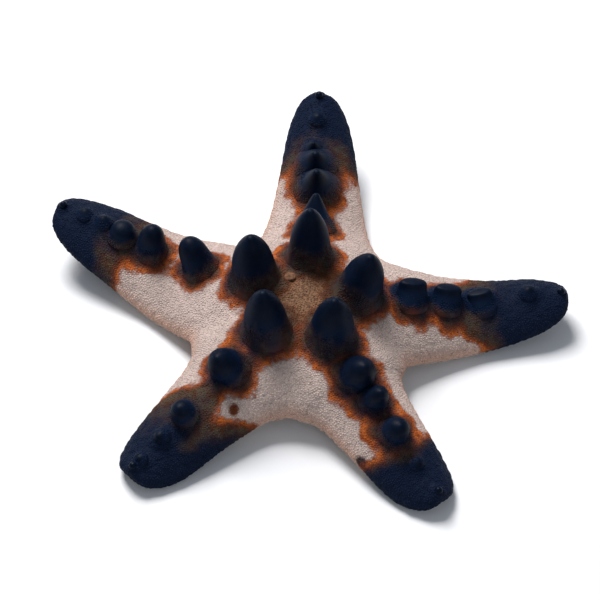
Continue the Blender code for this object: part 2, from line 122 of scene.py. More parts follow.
@dataclass(frozen=True)
class Curve:
    """A smooth curve through (station, value) points."""

    points: Points

    def at(self, station: float) -> float:
        """Value at one station.

        Args:
            station: Where on the curve.

        Returns:
            The value there.
        """
        points = self.points
        if station <= points[0][0]:
            return points[0][1]
        if station >= points[-1][0]:
            return points[-1][1]
        index = max(i for i, point in enumerate(points) if point[0] <= station)
        start, end = points[index], points[index + 1]
        before, after = points[max(index - 1, 0)], points[min(index + 2, len(points) - 1)]
        span = end[0] - start[0]
        share = (station - start[0]) / span
        rise_in = (end[1] - before[1]) / (end[0] - before[0]) * span
        rise_out = (after[1] - start[1]) / (after[0] - start[0]) * span
        square, cube = share**2, share**3
        return (
            (2 * cube - 3 * square + 1) * start[1]
            + (cube - 2 * square + share) * rise_in
            + (3 * square - 2 * cube) * end[1]
            + (cube - square) * rise_out
        )

    def over(self, stations: Array) -> Array:
        """Values at many stations."""
        marks = np.linspace(self.points[0][0], self.points[-1][0], 400)
        return np.interp(stations, marks, [self.at(mark) for mark in marks])


# -------------------- the animal's plan


# Rings of a horn's outline, up to its tip, as shares of its height.
RING_HEIGHTS = (
    -0.20, -0.10, -0.01, 0.07, 0.15, 0.24, 0.34, 0.44, 0.54, 0.64, 0.73, 0.81, 0.88, 0.93, 0.962,
    0.983, 1.001, 1.012, 1.016,
)
STUD_RING_HEIGHTS = (-0.90, -0.30, 0.05, 0.32, 0.55, 0.74, 0.88, 0.965, 1.0)
# A horn no taller than this is a stud.
STUD_HEIGHT = 0.0030
# The share of its depth that a stump's top loses, and the shares of its height over which it does.
CHISEL = 0.46
CHISEL_RISE = (0.05, 0.90)
# The back's fine mesh and granules begin here: 1 is the back, 0 the margin, -1 the underside.
BACK_FROM = -0.30


class HornForm(Enum):
    """Outlines of a horn: radius and height, ring by ring up to the tip, in shares of its own."""

    BULLET = tuple(zip(
        (1.22, 1.20, 1.13, 1.03, 0.965, 0.925, 0.90, 0.865, 0.81, 0.735, 0.64, 0.535, 0.42, 0.315,
         0.23, 0.185, 0.14, 0.075, 0.0),
        RING_HEIGHTS,
    ))
    TENT = tuple(zip(
        (1.22, 1.32, 1.34, 1.22, 1.10, 0.98, 0.86, 0.755, 0.655, 0.56, 0.47, 0.385, 0.305, 0.245,
         0.20, 0.165, 0.125, 0.07, 0.0),
        (-0.32, -0.16, -0.03, *RING_HEIGHTS[3:]),
    ))
    BARREL = tuple(zip(
        (1.33, 1.30, 1.22, 1.14, 1.08, 1.03, 0.995, 0.97, 0.94, 0.89, 0.82, 0.725, 0.61, 0.495,
         0.39, 0.30, 0.20, 0.10, 0.0),
        RING_HEIGHTS,
    ))
    DOME = tuple(zip(
        (1.26, 1.23, 1.16, 1.09, 1.04, 1.00, 0.965, 0.925, 0.87, 0.80, 0.72, 0.615, 0.495, 0.385,
         0.29, 0.22, 0.155, 0.08, 0.0),
        RING_HEIGHTS,
    ))
    STUMP = tuple(zip(
        (1.38, 1.30, 1.21, 1.12, 1.06, 1.03, 1.01, 1.00, 0.99, 0.98, 0.965, 0.945, 0.905, 0.85,
         0.775, 0.66, 0.47, 0.24, 0.0),
        (-0.46, -0.22, -0.03, *RING_HEIGHTS[3:]),
    ))
    STUD = tuple(zip((1.22, 1.24, 1.12, 0.96, 0.77, 0.56, 0.34, 0.16, 0.0), STUD_RING_HEIGHTS))

    def radius_at(self, share: Array) -> Array:
        """Radius, as a share of the base's, at shares of the height."""
        radii, heights = zip(*self.value)
        return np.interp(share, heights, radii)


@dataclass(frozen=True)
class HornPlan:
    """A horn on an arm: its station, height, base radius and own lean outwards.

    Aside is its place left of the ridge, and roll its lean to the left.
    """

    at: float
    height: float
    base: float
    lean: float = 0.0
    aside: float = 0.0
    roll: float = 0.0


@dataclass(frozen=True)
class ArmPlan:
    """How one arm lies, the horns along it, and where its dark end begins.

    Stations are shares of the arm's length from the disc's centre. The underside touches the floor
    at the foot's station and rises by the lift from there to the tip. The brown edge gives the
    station where the dark end begins, from the right margin at -1 to the left at 1. Marbled is the
    share of the length over which its brown turns to plain dark, on the ridge and at the margins.
    """

    name: str
    azimuth: float
    length: float
    girth: float
    swell: float
    sway: float
    foot: float
    lift: float
    lift_power: float
    first_lean: float
    lean: float
    form: HornForm
    first: HornPlan
    horns: tuple[HornPlan, ...]
    brown_edge: Curve
    marbled: Pair


ARMS = (
    ArmPlan(
        name="rear", azimuth=84.0, length=0.0712, girth=1.03, swell=0.0, sway=0.0034,
        foot=0.48, lift=0.0140, lift_power=1.3, first_lean=5.0, lean=4.0, form=HornForm.TENT,
        first=HornPlan(0.204, 0.0172, 0.0058),
        horns=(
            HornPlan(0.395, 0.0090, 0.0042),
            HornPlan(0.585, 0.0102, 0.0048, 0.0, 0.0003),
            HornPlan(0.675, 0.0066, 0.0044, 0.0, 0.0009),
            HornPlan(0.735, 0.0040, 0.0026, 0.0, 0.0016),
            HornPlan(0.860, 0.0014, 0.0020, 0.0, 0.0005),
        ),
        brown_edge=Curve(((-1.0, 0.672), (-0.6, 0.664), (0.0, 0.650), (0.6, 0.656), (1.0, 0.660))),
        marbled=(0.20, 0.12),
    ),
    ArmPlan(
        name="left", azimuth=152.0, length=0.0750, girth=1.06, swell=0.0, sway=0.0010,
        foot=0.50, lift=0.0095, lift_power=1.2, first_lean=4.0, lean=8.0, form=HornForm.BARREL,
        first=HornPlan(0.208, 0.0164, 0.0063),
        horns=(
            HornPlan(0.42, 0.0095, 0.0040, -12.0),
            HornPlan(0.61, 0.0088, 0.0036),
            HornPlan(0.72, 0.0040, 0.0033, 0.0, 0.0006),
            HornPlan(0.80, 0.0022, 0.0023),
            HornPlan(0.875, 0.0014, 0.0020),
        ),
        brown_edge=Curve(((-1.0, 0.690), (-0.5, 0.625), (0.0, 0.560), (0.5, 0.660), (1.0, 0.655))),
        marbled=(0.26, 0.09),
    ),
    ArmPlan(
        name="front_left", azimuth=227.0, length=0.0652, girth=1.05, swell=0.12, sway=-0.0012,
        foot=0.88, lift=0.0, lift_power=1.0, first_lean=4.0, lean=14.0, form=HornForm.DOME,
        first=HornPlan(0.204, 0.0164, 0.0061),
        horns=(
            HornPlan(0.440, 0.0095, 0.0045),
            HornPlan(0.690, 0.0044, 0.0032),
            HornPlan(0.815, 0.0022, 0.0021),
            HornPlan(0.930, 0.0012, 0.0017),
        ),
        brown_edge=Curve((
            (-1.0, 0.690), (-0.7, 0.610), (-0.3, 0.540), (0.0, 0.470), (0.3, 0.530), (0.55, 0.600),
            (0.78, 0.530), (1.0, 0.455),
        )),
        marbled=(0.34, 0.16),
    ),
    ArmPlan(
        name="front_right", azimuth=299.5, length=0.0652, girth=0.98, swell=0.15, sway=0.0040,
        foot=0.88, lift=0.0, lift_power=1.0, first_lean=6.0, lean=15.0, form=HornForm.DOME,
        first=HornPlan(0.204, 0.0165, 0.0061),
        horns=(
            HornPlan(0.415, 0.0095, 0.0045),
            HornPlan(0.535, 0.0078, 0.0033, 0.0, 0.0004),
            HornPlan(0.690, 0.0058, 0.0035),
            HornPlan(0.840, 0.0012, 0.0018),
        ),
        brown_edge=Curve(((-1.0, 0.665), (-0.8, 0.710), (0.0, 0.725), (0.5, 0.715), (1.0, 0.690))),
        marbled=(0.11, 0.05),
    ),
    ArmPlan(
        name="right", azimuth=7.5, length=0.0707, girth=1.06, swell=0.0, sway=-0.0014,
        foot=0.62, lift=0.0042, lift_power=1.3, first_lean=12.0, lean=3.0, form=HornForm.STUMP,
        first=HornPlan(0.206, 0.0148, 0.0062),
        horns=(
            HornPlan(0.398, 0.0048, 0.0039, -8.0, -0.0006, 16.0),
            HornPlan(0.530, 0.0044, 0.0038, -14.0, -0.0006, 16.0),
            HornPlan(0.660, 0.0038, 0.0035, 0.0, -0.0006, 16.0),
            HornPlan(0.840, 0.0018, 0.0022),
        ),
        brown_edge=Curve((
            (-1.0, 0.700), (-0.84, 0.625), (-0.6, 0.550), (0.0, 0.500), (0.8, 0.650), (1.0, 0.680),
        )),
        marbled=(0.32, 0.08),
    ),
)


@dataclass(frozen=True)
class Horn:
    """A horn in place: the root and axis of its solid, and the arm and number it goes by."""

    arm: ArmPlan
    number: int
    plan: HornPlan
    root: Array
    axis: Array

    @property
    def is_stud(self) -> bool:
        """True of the low bosses near an arm's end."""
        return self.plan.height <= STUD_HEIGHT

    @property
    def form(self) -> HornForm:
        """The horn's outline."""
        if self.is_stud:
            return HornForm.STUD
        return self.arm.form if self.number else HornForm.BULLET

    @property
    def is_skirted(self) -> bool:
        """True of the horns that the skin is drawn up round like a skirt."""
        return self.form in (HornForm.TENT, HornForm.STUMP)

    def split(self, points: Array) -> tuple[Array, Array]:
        """How far points are along the horn's axis and off it, in metres."""
        away = points - self.root
        along = away @ self.axis
        return along, np.linalg.norm(away - along[:, None] * self.axis, axis=1)

    def pinched(self, off: Array, up: Array) -> Array:
        """Draws a stump in towards its top like a chisel, and leaves other horns as they are.

        Args:
            off: Offsets of points from the horn's axis.
            up: The points' shares of the horn's height.

        Returns:
            The offsets, made smaller along the shorter way through the chisel.
        """
        if self.form is not HornForm.STUMP:
            return off
        side = np.cross(self.axis, unit(self.arm.azimuth))
        side /= np.linalg.norm(side)
        lost = CHISEL * ramp(up, *CHISEL_RISE) * (off @ side)
        return off - lost[:, None] * side


@dataclass(frozen=True)
class Body:
    """The whole animal's form, from which every piece takes its place.

    All heights and places are relative to the disc's centre on the floor.
    """

    arm_length: float = 0.070
    notch: float = 0.0313
    disc_height: float = 0.0160
    clearance: float = 0.0030
    valley_hold: float = 2.2
    valley_fall: float = 0.8
    foot_dip: float = 0.0017
    foot_spread: float = 0.10
    sway_start: float = 0.3
    heading_step: float = 0.01
    slope_step: float = 0.03
    swell_at: float = 0.84
    swell_spread: float = 0.22
    flank: Pair = (0.68, 0.71)
    margin_up: float = 0.27
    belly_across: float = 0.80
    groove: float = 0.0017
    groove_at_tip: float = 0.0009
    groove_share: float = 0.35
    groove_depth: float = 0.17
    mouth_depth: float = 0.0048
    disc_rows: tuple[float, ...] = (0.12, 0.22, 0.31)
    arm_rows: tuple[float, ...] = (0.42, 0.54, 0.70, 0.86, 0.975)
    horn_sink: float = 0.0006
    half_width: Curve = Curve((
        (0.36, 0.262), (0.40, 0.230), (0.48, 0.205), (0.58, 0.182), (0.70, 0.159),
        (0.82, 0.143), (0.92, 0.122), (0.98, 0.082), (1.0, 0.050),
    ))
    thick: Curve = Curve((
        (0.0, 0.229), (0.22, 0.230), (0.36, 0.212), (0.48, 0.192), (0.58, 0.178),
        (0.70, 0.165), (0.82, 0.152), (0.92, 0.128), (0.98, 0.080), (1.0, 0.050),
    ))
    tip_rise: Curve = Curve(((0.0, 0.0), (0.82, 0.0), (0.92, 0.006), (0.98, 0.028), (1.0, 0.050)))

    @property
    def centre(self) -> Array:
        """The disc's centre on the floor, in the shared frame."""
        low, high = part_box("mouth_plates")
        return np.array(((low.x + high.x) / 2, (low.y + high.y) / 2, 0.0))

    def after(self, arm: ArmPlan) -> ArmPlan:
        """The arm that follows one, anticlockwise from above."""
        return ARMS[(ARMS.index(arm) + 1) % len(ARMS)]

    def half_turn(self, arm: ArmPlan) -> float:
        """Half the angle between an arm and the one after it."""
        return (self.after(arm).azimuth - arm.azimuth) % 360.0 / 2

    def notch_azimuth(self, arm: ArmPlan) -> float:
        """Azimuth of the notch between an arm and the one after it."""
        return arm.azimuth + self.half_turn(arm)

    def underside(self, arm: ArmPlan, at: float) -> float:
        """Height of an arm's underside: arched to its foot, and lifted beyond it."""
        arch = self.clearance * max(0.0, 1 - (at / arm.foot) ** 2)
        dip = self.foot_dip * math.exp(-(((at - arm.foot) / self.foot_spread) ** 2))
        beyond = max(0.0, at - arm.foot) / (1 - arm.foot)
        raised = arm.lift * beyond**arm.lift_power + self.arm_length * self.tip_rise.at(at)
        return arch - dip + raised

    def thickness(self, at: float) -> float:
        """Height of an arm from its underside to its ridge."""
        return self.arm_length * self.thick.at(at)

    def ridge(self, arm: ArmPlan, at: float) -> float:
        """Height of an arm's ridge."""
        return self.underside(arm, at) + self.thickness(at)

    def middle(self, arm: ArmPlan, at: float) -> Array:
        """Point of an arm's middle line, seen from above."""
        bend = max(0.0, at - self.sway_start) / (1 - self.sway_start)
        return unit(arm.azimuth) * arm.length * at + unit(arm.azimuth + 90) * arm.sway * bend**2

    def heading(self, arm: ArmPlan, at: float) -> Array:
        """Level direction of an arm's middle line."""
        ahead = self.middle(arm, at + self.heading_step) - self.middle(arm, at - self.heading_step)
        return ahead / np.linalg.norm(ahead)

    def place(self, arm: ArmPlan, at: float, across: float, height: float) -> Array:
        """Point beside an arm's middle line; across is positive to its left."""
        along = self.heading(arm, at)
        return self.middle(arm, at) + np.array((-along[1], along[0], 0.0)) * across + rise(height)

    def groove_half(self, at: float, half: float) -> float:
        """Half width of the groove at a station of an arm of a half width."""
        width = self.groove + (self.groove_at_tip - self.groove) * at
        return min(width, self.groove_share * half)

    def arm_half(self, arm: ArmPlan, at: Array) -> Array:
        """Half width of an arm at stations beyond the notch."""
        swelling = 1 + arm.swell * bell(at, self.swell_at, self.swell_spread)
        return arm.length * arm.girth * swelling * self.half_width.over(at)

    def valley_height(self, radius: float, margin: float) -> float:
        """Height of the disc's top on the line between two arms."""
        crown = self.clearance + self.disc_height
        share = min(radius / self.notch, 1.0)
        return margin + (crown - margin) * (1 - share**self.valley_hold) ** self.valley_fall

    def valley_floor(self, arm: ArmPlan, at: float) -> float:
        """Height of the underside on the line between an arm and the one after it."""
        return (self.underside(arm, at) + self.underside(self.after(arm), at)) / 2

    def notch_margin(self, arm: ArmPlan) -> float:
        """Height of the margin in the notch between an arm and the one after it."""
        at = self.notch / self.arm_length * math.cos(math.radians(self.half_turn(arm)))
        return self.valley_floor(arm, at) + self.margin_up * self.thickness(at)

    def arm_of(self, points: Array) -> Array:
        """Number of the arm in whose wedge each point lies.

        Args:
            points: Places relative to the disc's centre.

        Returns:
            The numbers in ARMS.
        """
        turn = np.degrees(np.arctan2(points[:, 1], points[:, 0])) % 360
        found = np.zeros(len(points), int)
        for index, arm in enumerate(ARMS):
            left, right = self.half_turn(arm), self.half_turn(ARMS[index - 1])
            off = (turn - arm.azimuth + 180) % 360 - 180
            found[(off <= left) & (off > -right)] = index
        return found

    def stations(self, arm: ArmPlan, points: Array) -> tuple[Array, Array]:
        """Station along an arm, and distance to the left of its middle line, of points."""
        at = points @ unit(arm.azimuth) / arm.length
        bend = np.clip(at - self.sway_start, 0.0, None) / (1 - self.sway_start)
        across = points @ unit(arm.azimuth + 90) - arm.sway * bend**2
        return at, across

    def horns(self) -> list[Horn]:
        """Every horn of the solids, in place.

        Returns:
            The horns of the disc and of the arms.
        """
        found = []
        for arm in ARMS:
            first = arm.first
            point = unit(arm.azimuth) * self.arm_length * first.at
            point = point + rise(self.ridge(arm, first.at))
            axis = leaning(arm.azimuth, arm.first_lean)
            found.append(Horn(arm, 0, first, point - axis * self.horn_sink, axis))
            for index, plan in enumerate(arm.horns):
                point = self.place(arm, plan.at, plan.aside, self.ridge(arm, plan.at))
                beyond = plan.at + self.slope_step
                ahead = self.place(arm, beyond, plan.aside, self.ridge(arm, beyond)) - point
                fall = math.degrees(math.atan2(-ahead[2], math.hypot(ahead[0], ahead[1])))
                azimuth = math.degrees(math.atan2(ahead[1], ahead[0]))
                axis = leaning(azimuth, fall + arm.lean + plan.lean)
                roll = math.radians(plan.roll)
                axis = axis * math.cos(roll) + unit(azimuth + 90) * math.sin(roll)
                found.append(Horn(arm, index + 1, plan, point - axis * self.horn_sink, axis))
        return found


# -------------------- modelling by hand


def deselect() -> None:
    """Leaves nothing selected."""
    if bpy.context.mode != "OBJECT":
        bpy.ops.object.mode_set(mode="OBJECT")
    bpy.ops.object.select_all(action="DESELECT")


def take(piece: Object) -> None:
    """Selects one object alone and makes it active."""
    deselect()
    piece.select_set(True)
    bpy.context.view_layer.objects.active = piece


def apply_all(piece: Object) -> None:
    """Applies a piece's modifiers in order."""
    take(piece)
    for modifier in list(piece.modifiers):
        bpy.ops.object.modifier_apply(modifier=modifier.name)


def vectors(mesh: Mesh, kind: str) -> Array:
    """One vector of each of a mesh's points: its place is "co" and its normal "normal"."""
    found = np.empty(len(mesh.vertices) * 3, np.float32)
    mesh.vertices.foreach_get(kind, found)
    return found.reshape(-1, 3).astype(float)


def positions(mesh: Mesh) -> Array:
    """A mesh's points."""
    return vectors(mesh, "co")


def set_positions(mesh: Mesh, points: Array) -> None:
    """Moves a mesh's points."""
    mesh.vertices.foreach_set("co", points.astype(np.float32).ravel())
    mesh.update()


def add_values(mesh: Mesh, name: str, values: Array) -> None:
    """Stores a value at each of a mesh's points."""
    layer = mesh.attributes.new(name, "FLOAT", "POINT")
    layer.data.foreach_set("value", values.astype(np.float32))


def values_of(mesh: Mesh, name: str) -> Array:
    """The values stored at a mesh's points."""
    found = np.empty(len(mesh.vertices), np.float32)
    mesh.attributes[name].data.foreach_get("value", found)
    return found.astype(float)


def triangles(mesh: Mesh) -> Array:
    """A mesh's triangles, as point numbers."""
    mesh.calc_loop_triangles()
    found = np.empty(len(mesh.loop_triangles) * 3, np.int32)
    mesh.loop_triangles.foreach_get("vertices", found)
    return found.reshape(-1, 3)


def new_object(name: str, mesh: Mesh) -> Object:
    """Puts a mesh in the scene."""
    piece = bpy.data.objects.new(name, mesh)
    bpy.context.scene.collection.objects.link(piece)
    return piece


def joined(pieces: Sequence[Object]) -> Object:
    """Joins pieces into the first of them.

    Args:
        pieces: The pieces, the one that stays first.

    Returns:
        The first piece, now with every mesh.
    """
    take(pieces[0])
    for piece in pieces[1:]:
        piece.select_set(True)
    if len(pieces) > 1:
        bpy.ops.object.join()
    return pieces[0]


def dress(piece: Object, material: Material) -> None:
    """Shades a piece smooth and gives it its material."""
    piece.data.polygons.foreach_set("use_smooth", np.ones(len(piece.data.polygons), bool))
    piece.data.materials.append(material)


def box_of(solid: str) -> tuple[Array, Array]:
    """The middle and the size of a solid's box."""
    low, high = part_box(solid)
    return np.array((low + high) / 2), np.array(high - low)


def turned_master(name: str, profile: Points, segments: int) -> Object:
    """A round solid from a ring extruded up its outline, ring by ring, and closed at both ends.

    Args:
        name: The object's name.
        profile: (radius, height) of each ring, the lowest first and the tip, of radius 0, last.
        segments: Points round a ring.

    Returns:
        The object, standing on the origin.
    """
    deselect()
    radius, height = profile[0]
    bpy.ops.mesh.primitive_circle_add(
        vertices=segments, radius=radius, fill_type="NGON", location=(0.0, 0.0, height)
    )
    piece = bpy.context.object
    piece.name = name
    bpy.ops.object.transform_apply(location=True, rotation=False, scale=False)
    bpy.ops.object.mode_set(mode="EDIT")
    bpy.ops.mesh.select_all(action="SELECT")
    for next_radius, next_height in profile[1:-1]:
        bpy.ops.mesh.extrude_region_move(
            TRANSFORM_OT_translate={"value": (0.0, 0.0, next_height - height)}
        )
        share = next_radius / radius
        bpy.ops.transform.resize(
            value=(share, share, 1.0), center_override=(0.0, 0.0, next_height)
        )
        radius, height = next_radius, next_height
    bpy.ops.mesh.extrude_region_move(
        TRANSFORM_OT_translate={"value": (0.0, 0.0, profile[-1][1] - height)}
    )
    bpy.ops.mesh.merge(type="CENTER")
    bpy.ops.mesh.select_all(action="SELECT")
    bpy.ops.mesh.normals_make_consistent(inside=False)
    bpy.ops.object.mode_set(mode="OBJECT")
    return piece


def remove(piece: Object) -> None:
    """Takes a helper out of the scene with its mesh."""
    mesh = piece.data
    bpy.data.objects.remove(piece)
    bpy.data.meshes.remove(mesh)


def frames_on(axes: Array, spins: Array) -> Array:
    """Turning matrices that stand +Z along each axis.

    Args:
        axes: Unit vectors, one a row.
        spins: Turns about them in radians.

    Returns:
        One matrix for each axis.
    """
    helper = np.where(np.abs(axes[:, 2:3]) > 0.9, (1.0, 0.0, 0.0), (0.0, 0.0, 1.0))
    side = np.cross(helper, axes)
    side /= np.linalg.norm(side, axis=1, keepdims=True)
    front = np.cross(axes, side)
    turn, slide = np.cos(spins)[:, None], np.sin(spins)[:, None]
    return np.stack((side * turn + front * slide, front * turn - side * slide, axes), axis=2)


def standing(axis: Array, spin: float = 0.0) -> Array:
    """The turning matrix that stands +Z along one axis."""
    return frames_on(axis[None], np.array([spin]))[0]


@dataclass
class Scatter:
    """Many copies of one small shape, each with its own faces, gathered for one piece.

    Roots are the copies' places on the bake map, and a patch is how far one copy spreads there.
    """

    master_points: Array
    master_faces: Array
    places: Array
    turns: Array
    sizes: Array
    roots: Array
    marks: Array
    grounds: Array
    lightness: Array
    patch: float = 0.0015

    def build(self, name: str, floor_gap: float = 0.0) -> Object:
        """Joins the copies into one mesh with its bake map and its colour marks.

        Args:
            name: The piece's name.
            floor_gap: No point is let below this height.

        Returns:
            The piece, at the origin.
        """
        count, per = len(self.places), len(self.master_points)
        shaped = self.master_points[None] * self.sizes[:, None, :]
        moved = np.einsum("nij,npj->npi", self.turns, shaped) + self.places[:, None, :]
        moved = moved.reshape(-1, 3)
        moved[:, 2] = np.maximum(moved[:, 2], floor_gap)
        sides = self.master_faces.shape[1]
        starts = (np.arange(count) * per)[:, None, None]
        faces = (self.master_faces[None] + starts).reshape(-1, sides)
        mesh = bpy.data.meshes.new(name)
        mesh.vertices.add(len(moved))
        mesh.loops.add(faces.size)
        mesh.polygons.add(len(faces))
        mesh.vertices.foreach_set("co", moved.astype(np.float32).ravel())
        mesh.loops.foreach_set("vertex_index", faces.astype(np.int32).ravel())
        mesh.polygons.foreach_set("loop_start", np.arange(0, faces.size, sides, dtype=np.int32))
        mesh.update(calc_edges=True)
        flat = self.master_points[:, :2] / np.abs(self.master_points[:, :2]).max() * self.patch
        spread = (self.roots[:, None, :] + flat[None]).reshape(-1, 2)
        layer = mesh.uv_layers.new(name="OFBake")
        layer.data.foreach_set("uv", spread[faces.ravel()].astype(np.float32).ravel())
        write_marks(
            mesh,
            np.repeat(self.marks, per, axis=0),
            np.repeat(self.grounds, per, axis=0),
            np.repeat(self.lightness, per),
        )
        return new_object(name, mesh)


def write_marks(mesh: Mesh, marks: Array, grounds: Array, lightness: Array) -> None:
    """Stores what the finishes read at each point.

    Args:
        mesh: The mesh.
        marks: How dark, brown and rust each point is.
        grounds: How far each is of the centre, the margin and the underside.
        lightness: Its lightness; on a horn, its share of the height.
    """
    for name, values in (("Marking", marks), ("Ground", grounds)):
        layer = mesh.attributes.new(name, "FLOAT_COLOR", "POINT")
        four = np.concatenate((values, np.ones((len(values), 1))), axis=1)
        layer.data.foreach_set("color", four.astype(np.float32).ravel())
    add_values(mesh, "Lightness", lightness)


# -------------------- markings


@dataclass(frozen=True)
class Spot:
    """A small spot off the horns' patches: its place from the disc's centre, its size and depth."""

    place: tuple[float, float, float]
    along: float
    across: float
    azimuth: float
    dark: float
    brown: float
    rust: float


SPOTS = (
    Spot((-0.0180, -0.0306, 0.0108), 0.0021, 0.0012, 90.0, 0.10, 1.0, 0.55),
    Spot((0.0145, -0.0434, 0.0054), 0.0021, 0.0018, 0.0, 0.45, 1.0, 0.0),
    Spot((0.0034, 0.0090, 0.0191), 0.0009, 0.0007, 0.0, 0.35, 0.8, 0.6),
)


@dataclass
class Markings:
    """Where the animal is dark, brown, rust or pale. Skin, granules and horns all ask here.

    A pair holds the value at which something begins and the one at which it is full. A depth is
    measured inwards from the edge of a patch or of a dark end.
    """

    body: Body
    horns: list[Horn]
    patch_out: float = 0.0037
    corner: float = 0.00060
    stud_patch_out: float = 0.0016
    wave: float = 0.00080
    wave_size: float = 0.0026
    fray: float = 0.00045
    fray_size: float = 0.0009
    lump_size: float = 0.0036
    blend: float = 0.0022
    rust_start: Pair = (-0.0008, 0.0004)
    rust_fade: Pair = (0.0036, 0.0007)
    rust_lump: float = 0.0004
    rust_least: float = 0.90
    rust_swing: float = 0.30
    rust_off_centre: float = 0.75
    brown_depth: Pair = (-0.0001, 0.0013)
    brown_end: Pair = (0.0, 0.001)
    end_raggedness: float = 1.5
    end_dark: float = 0.97
    end_depth: Pair = (0.0, 0.0012)
    marble_lump: float = 0.32
    marble_fray: float = 0.14
    marble_span: Pair = (0.05, 1.0)
    disc_dark: Pair = (0.06, 0.48)
    row_dark: Pair = (-0.16, 0.28)
    tent_dark: Pair = (-0.05, 0.42)
    stump_dark: Pair = (-0.50, 0.10)
    dark_raggedness: float = 150.0
    dark_outward: float = 0.10
    dark_streak: float = 0.16
    foot_dark: Pair = (1.40, 1.10)
    skirt_dark: Pair = (1.80, 1.30)
    foot_shade: float = 0.80
    skirt_shade: float = 0.92
    shade_span: Pair = (1.0, 0.40)
    shade_outward: float = 0.16
    shade_streak: float = 0.18
    streaks: float = 3.2
    near_out: float = 2.0
    near_below: float = 3.0
    near_above: float = 1.3
    far_outside: float = -0.01
    far_before: float = -0.05
    centre_radius: float = 0.0128
    centre_soft: float = 0.62
    centre_wave: float = 0.0014
    back_edge: Pair = (-0.45, -0.05)
    under_edge: Pair = (-0.15, -0.60)
    margin_spread: float = 0.40
    spot_raggedness: float = 180.0
    spot_edge: Pair = (1.1, 0.7)
    spot_rim: Pair = (1.25, 0.95)

    def paint(self, points: Array, upper: Array) -> tuple[Array, Array]:
        """The marking and the ground at points.

        Args:
            points: Places relative to the disc's centre.
            upper: 1 on the back, 0 at the margin and -1 on the underside.

        Returns:
            The marking as dark, brown and rust, and the ground as centre, margin and underside.
        """
        wave = grain(points, self.wave_size, 1.0)
        fray = grain(points, self.fray_size, 2.0)
        lump = grain(points, self.lump_size, 8.0)
        ragged = self.wave * wave + self.fray * fray
        back = ramp(upper, *self.back_edge)
        ring, rows, dark = self._round_horns(points, ragged)
        past, marbled = self._past_brown_edge(points)
        end = past + self.end_raggedness * ragged
        inside = np.maximum(ring, merged(rows, end, self.blend))
        depth = inside + self.rust_lump * lump
        rust = ramp(depth, *self.rust_start) * ramp(depth, *self.rust_fade)
        uneven = self.rust_least + self.rust_swing * wave + self.rust_swing * fray
        rust = rust * uneven * back
        brown = ramp(inside, *self.brown_depth) * np.maximum(back, ramp(end, *self.brown_end))
        marble = past / marbled + self.marble_lump * lump + self.marble_fray * fray
        end_dark = self.end_dark * ramp(marble, *self.marble_span) * ramp(end, *self.end_depth)
        dark = np.maximum(dark * back, end_dark)
        out = np.hypot(points[:, 0], points[:, 1]) + self.centre_wave * wave
        centre = ramp(out, self.centre_radius, self.centre_radius * self.centre_soft) * back
        rust = rust * (1 - self.rust_off_centre * centre)
        marks = np.stack((dark, brown, rust), axis=1)
        for spot in SPOTS:
            marks = np.maximum(marks, self._spot(spot, points, ragged))
        margin = bell(upper, 0.0, self.margin_spread)
        under = ramp(upper, *self.under_edge)
        return np.clip(marks, 0.0, 1.0), np.stack((centre, margin, under), axis=1)

    def _round_horns(self, points: Array, ragged: Array) -> tuple[Array, Array, Array]:
        """How the horns mark the skin round them.

        Args:
            points: Places relative to the disc's centre.
            ragged: How uneven an edge is at each, in metres.

        Returns:
            How far inside the patches of the disc's horns each point lies, the same for the arms'
            horns, and how dark each point is.
        """
        fields = np.full((2, len(points)), self.far_outside)
        core = np.zeros(len(points))
        for index, horn in enumerate(self.horns):
            base, height = horn.plan.base, horn.plan.height
            out = base + (self.stud_patch_out if horn.is_stud else self.patch_out)
            along, off = horn.split(points)
            near = off < self.near_out * out
            near &= (along > -self.near_below * base) & (along < self.near_above * height)
            if not near.any():
                continue
            along, off, edge = along[near], off[near], ragged[near]
            ahead = unit(horn.arm.azimuth)
            outward = (points[near] - horn.root) @ ahead / out
            side = points[near] - horn.root - along[:, None] * horn.axis
            side /= np.maximum(np.linalg.norm(side, axis=1, keepdims=True), 1e-9)
            streak = grain(side * self.streaks + index, 1.0, 3.0)
            up = along / height + self.dark_streak * streak - self.dark_raggedness * edge
            on_horn = ramp(up + self.dark_outward * outward, *self._dark_span(horn))
            on_horn *= ramp(off / base, *(self.skirt_dark if horn.is_skirted else self.foot_dark))
            spread_out = off / out - self.shade_outward * outward + self.shade_streak * streak
            on_skin = ramp(spread_out, *self.shade_span)
            on_skin *= self.skirt_shade if horn.is_skirted else self.foot_shade
            core[near] = np.maximum(core[near], np.maximum(on_horn, on_skin))
            turn = np.arctan2(side @ np.cross(horn.axis, ahead), side @ ahead)
            field = out - off + edge + self.corner * np.cos(5 * turn + 2.4 * index)
            row = int(horn.number > 0)
            fields[row, near] = merged(fields[row, near], field, self.blend)
        return fields[0], fields[1], core

    def _dark_span(self, horn: Horn) -> Pair:
        """The shares of its height between which a horn turns dark."""
        spans = {HornForm.TENT: self.tent_dark, HornForm.STUMP: self.stump_dark}
        return spans.get(horn.form, self.row_dark if horn.number else self.disc_dark)

    def _past_brown_edge(self, points: Array) -> tuple[Array, Array]:
        """Where points lie in the dark ends of the arms.

        Args:
            points: Places relative to the disc's centre.

        Returns:
            How far past the start each point is, and how long the marbling is beside it.
        """
        past = np.full(len(points), self.far_before)
        marbled = np.ones(len(points))
        owner = self.body.arm_of(points)
        for index, arm in enumerate(ARMS):
            mine = owner == index
            at, across = self.body.stations(arm, points[mine])
            side = np.clip(across / self.body.arm_half(arm, at), -1.0, 1.0)
            ridge, margin = arm.marbled
            past[mine] = (at - arm.brown_edge.over(side)) * arm.length
            marbled[mine] = (margin + (ridge - margin) * (1 - np.abs(side))) * arm.length
        return past, marbled

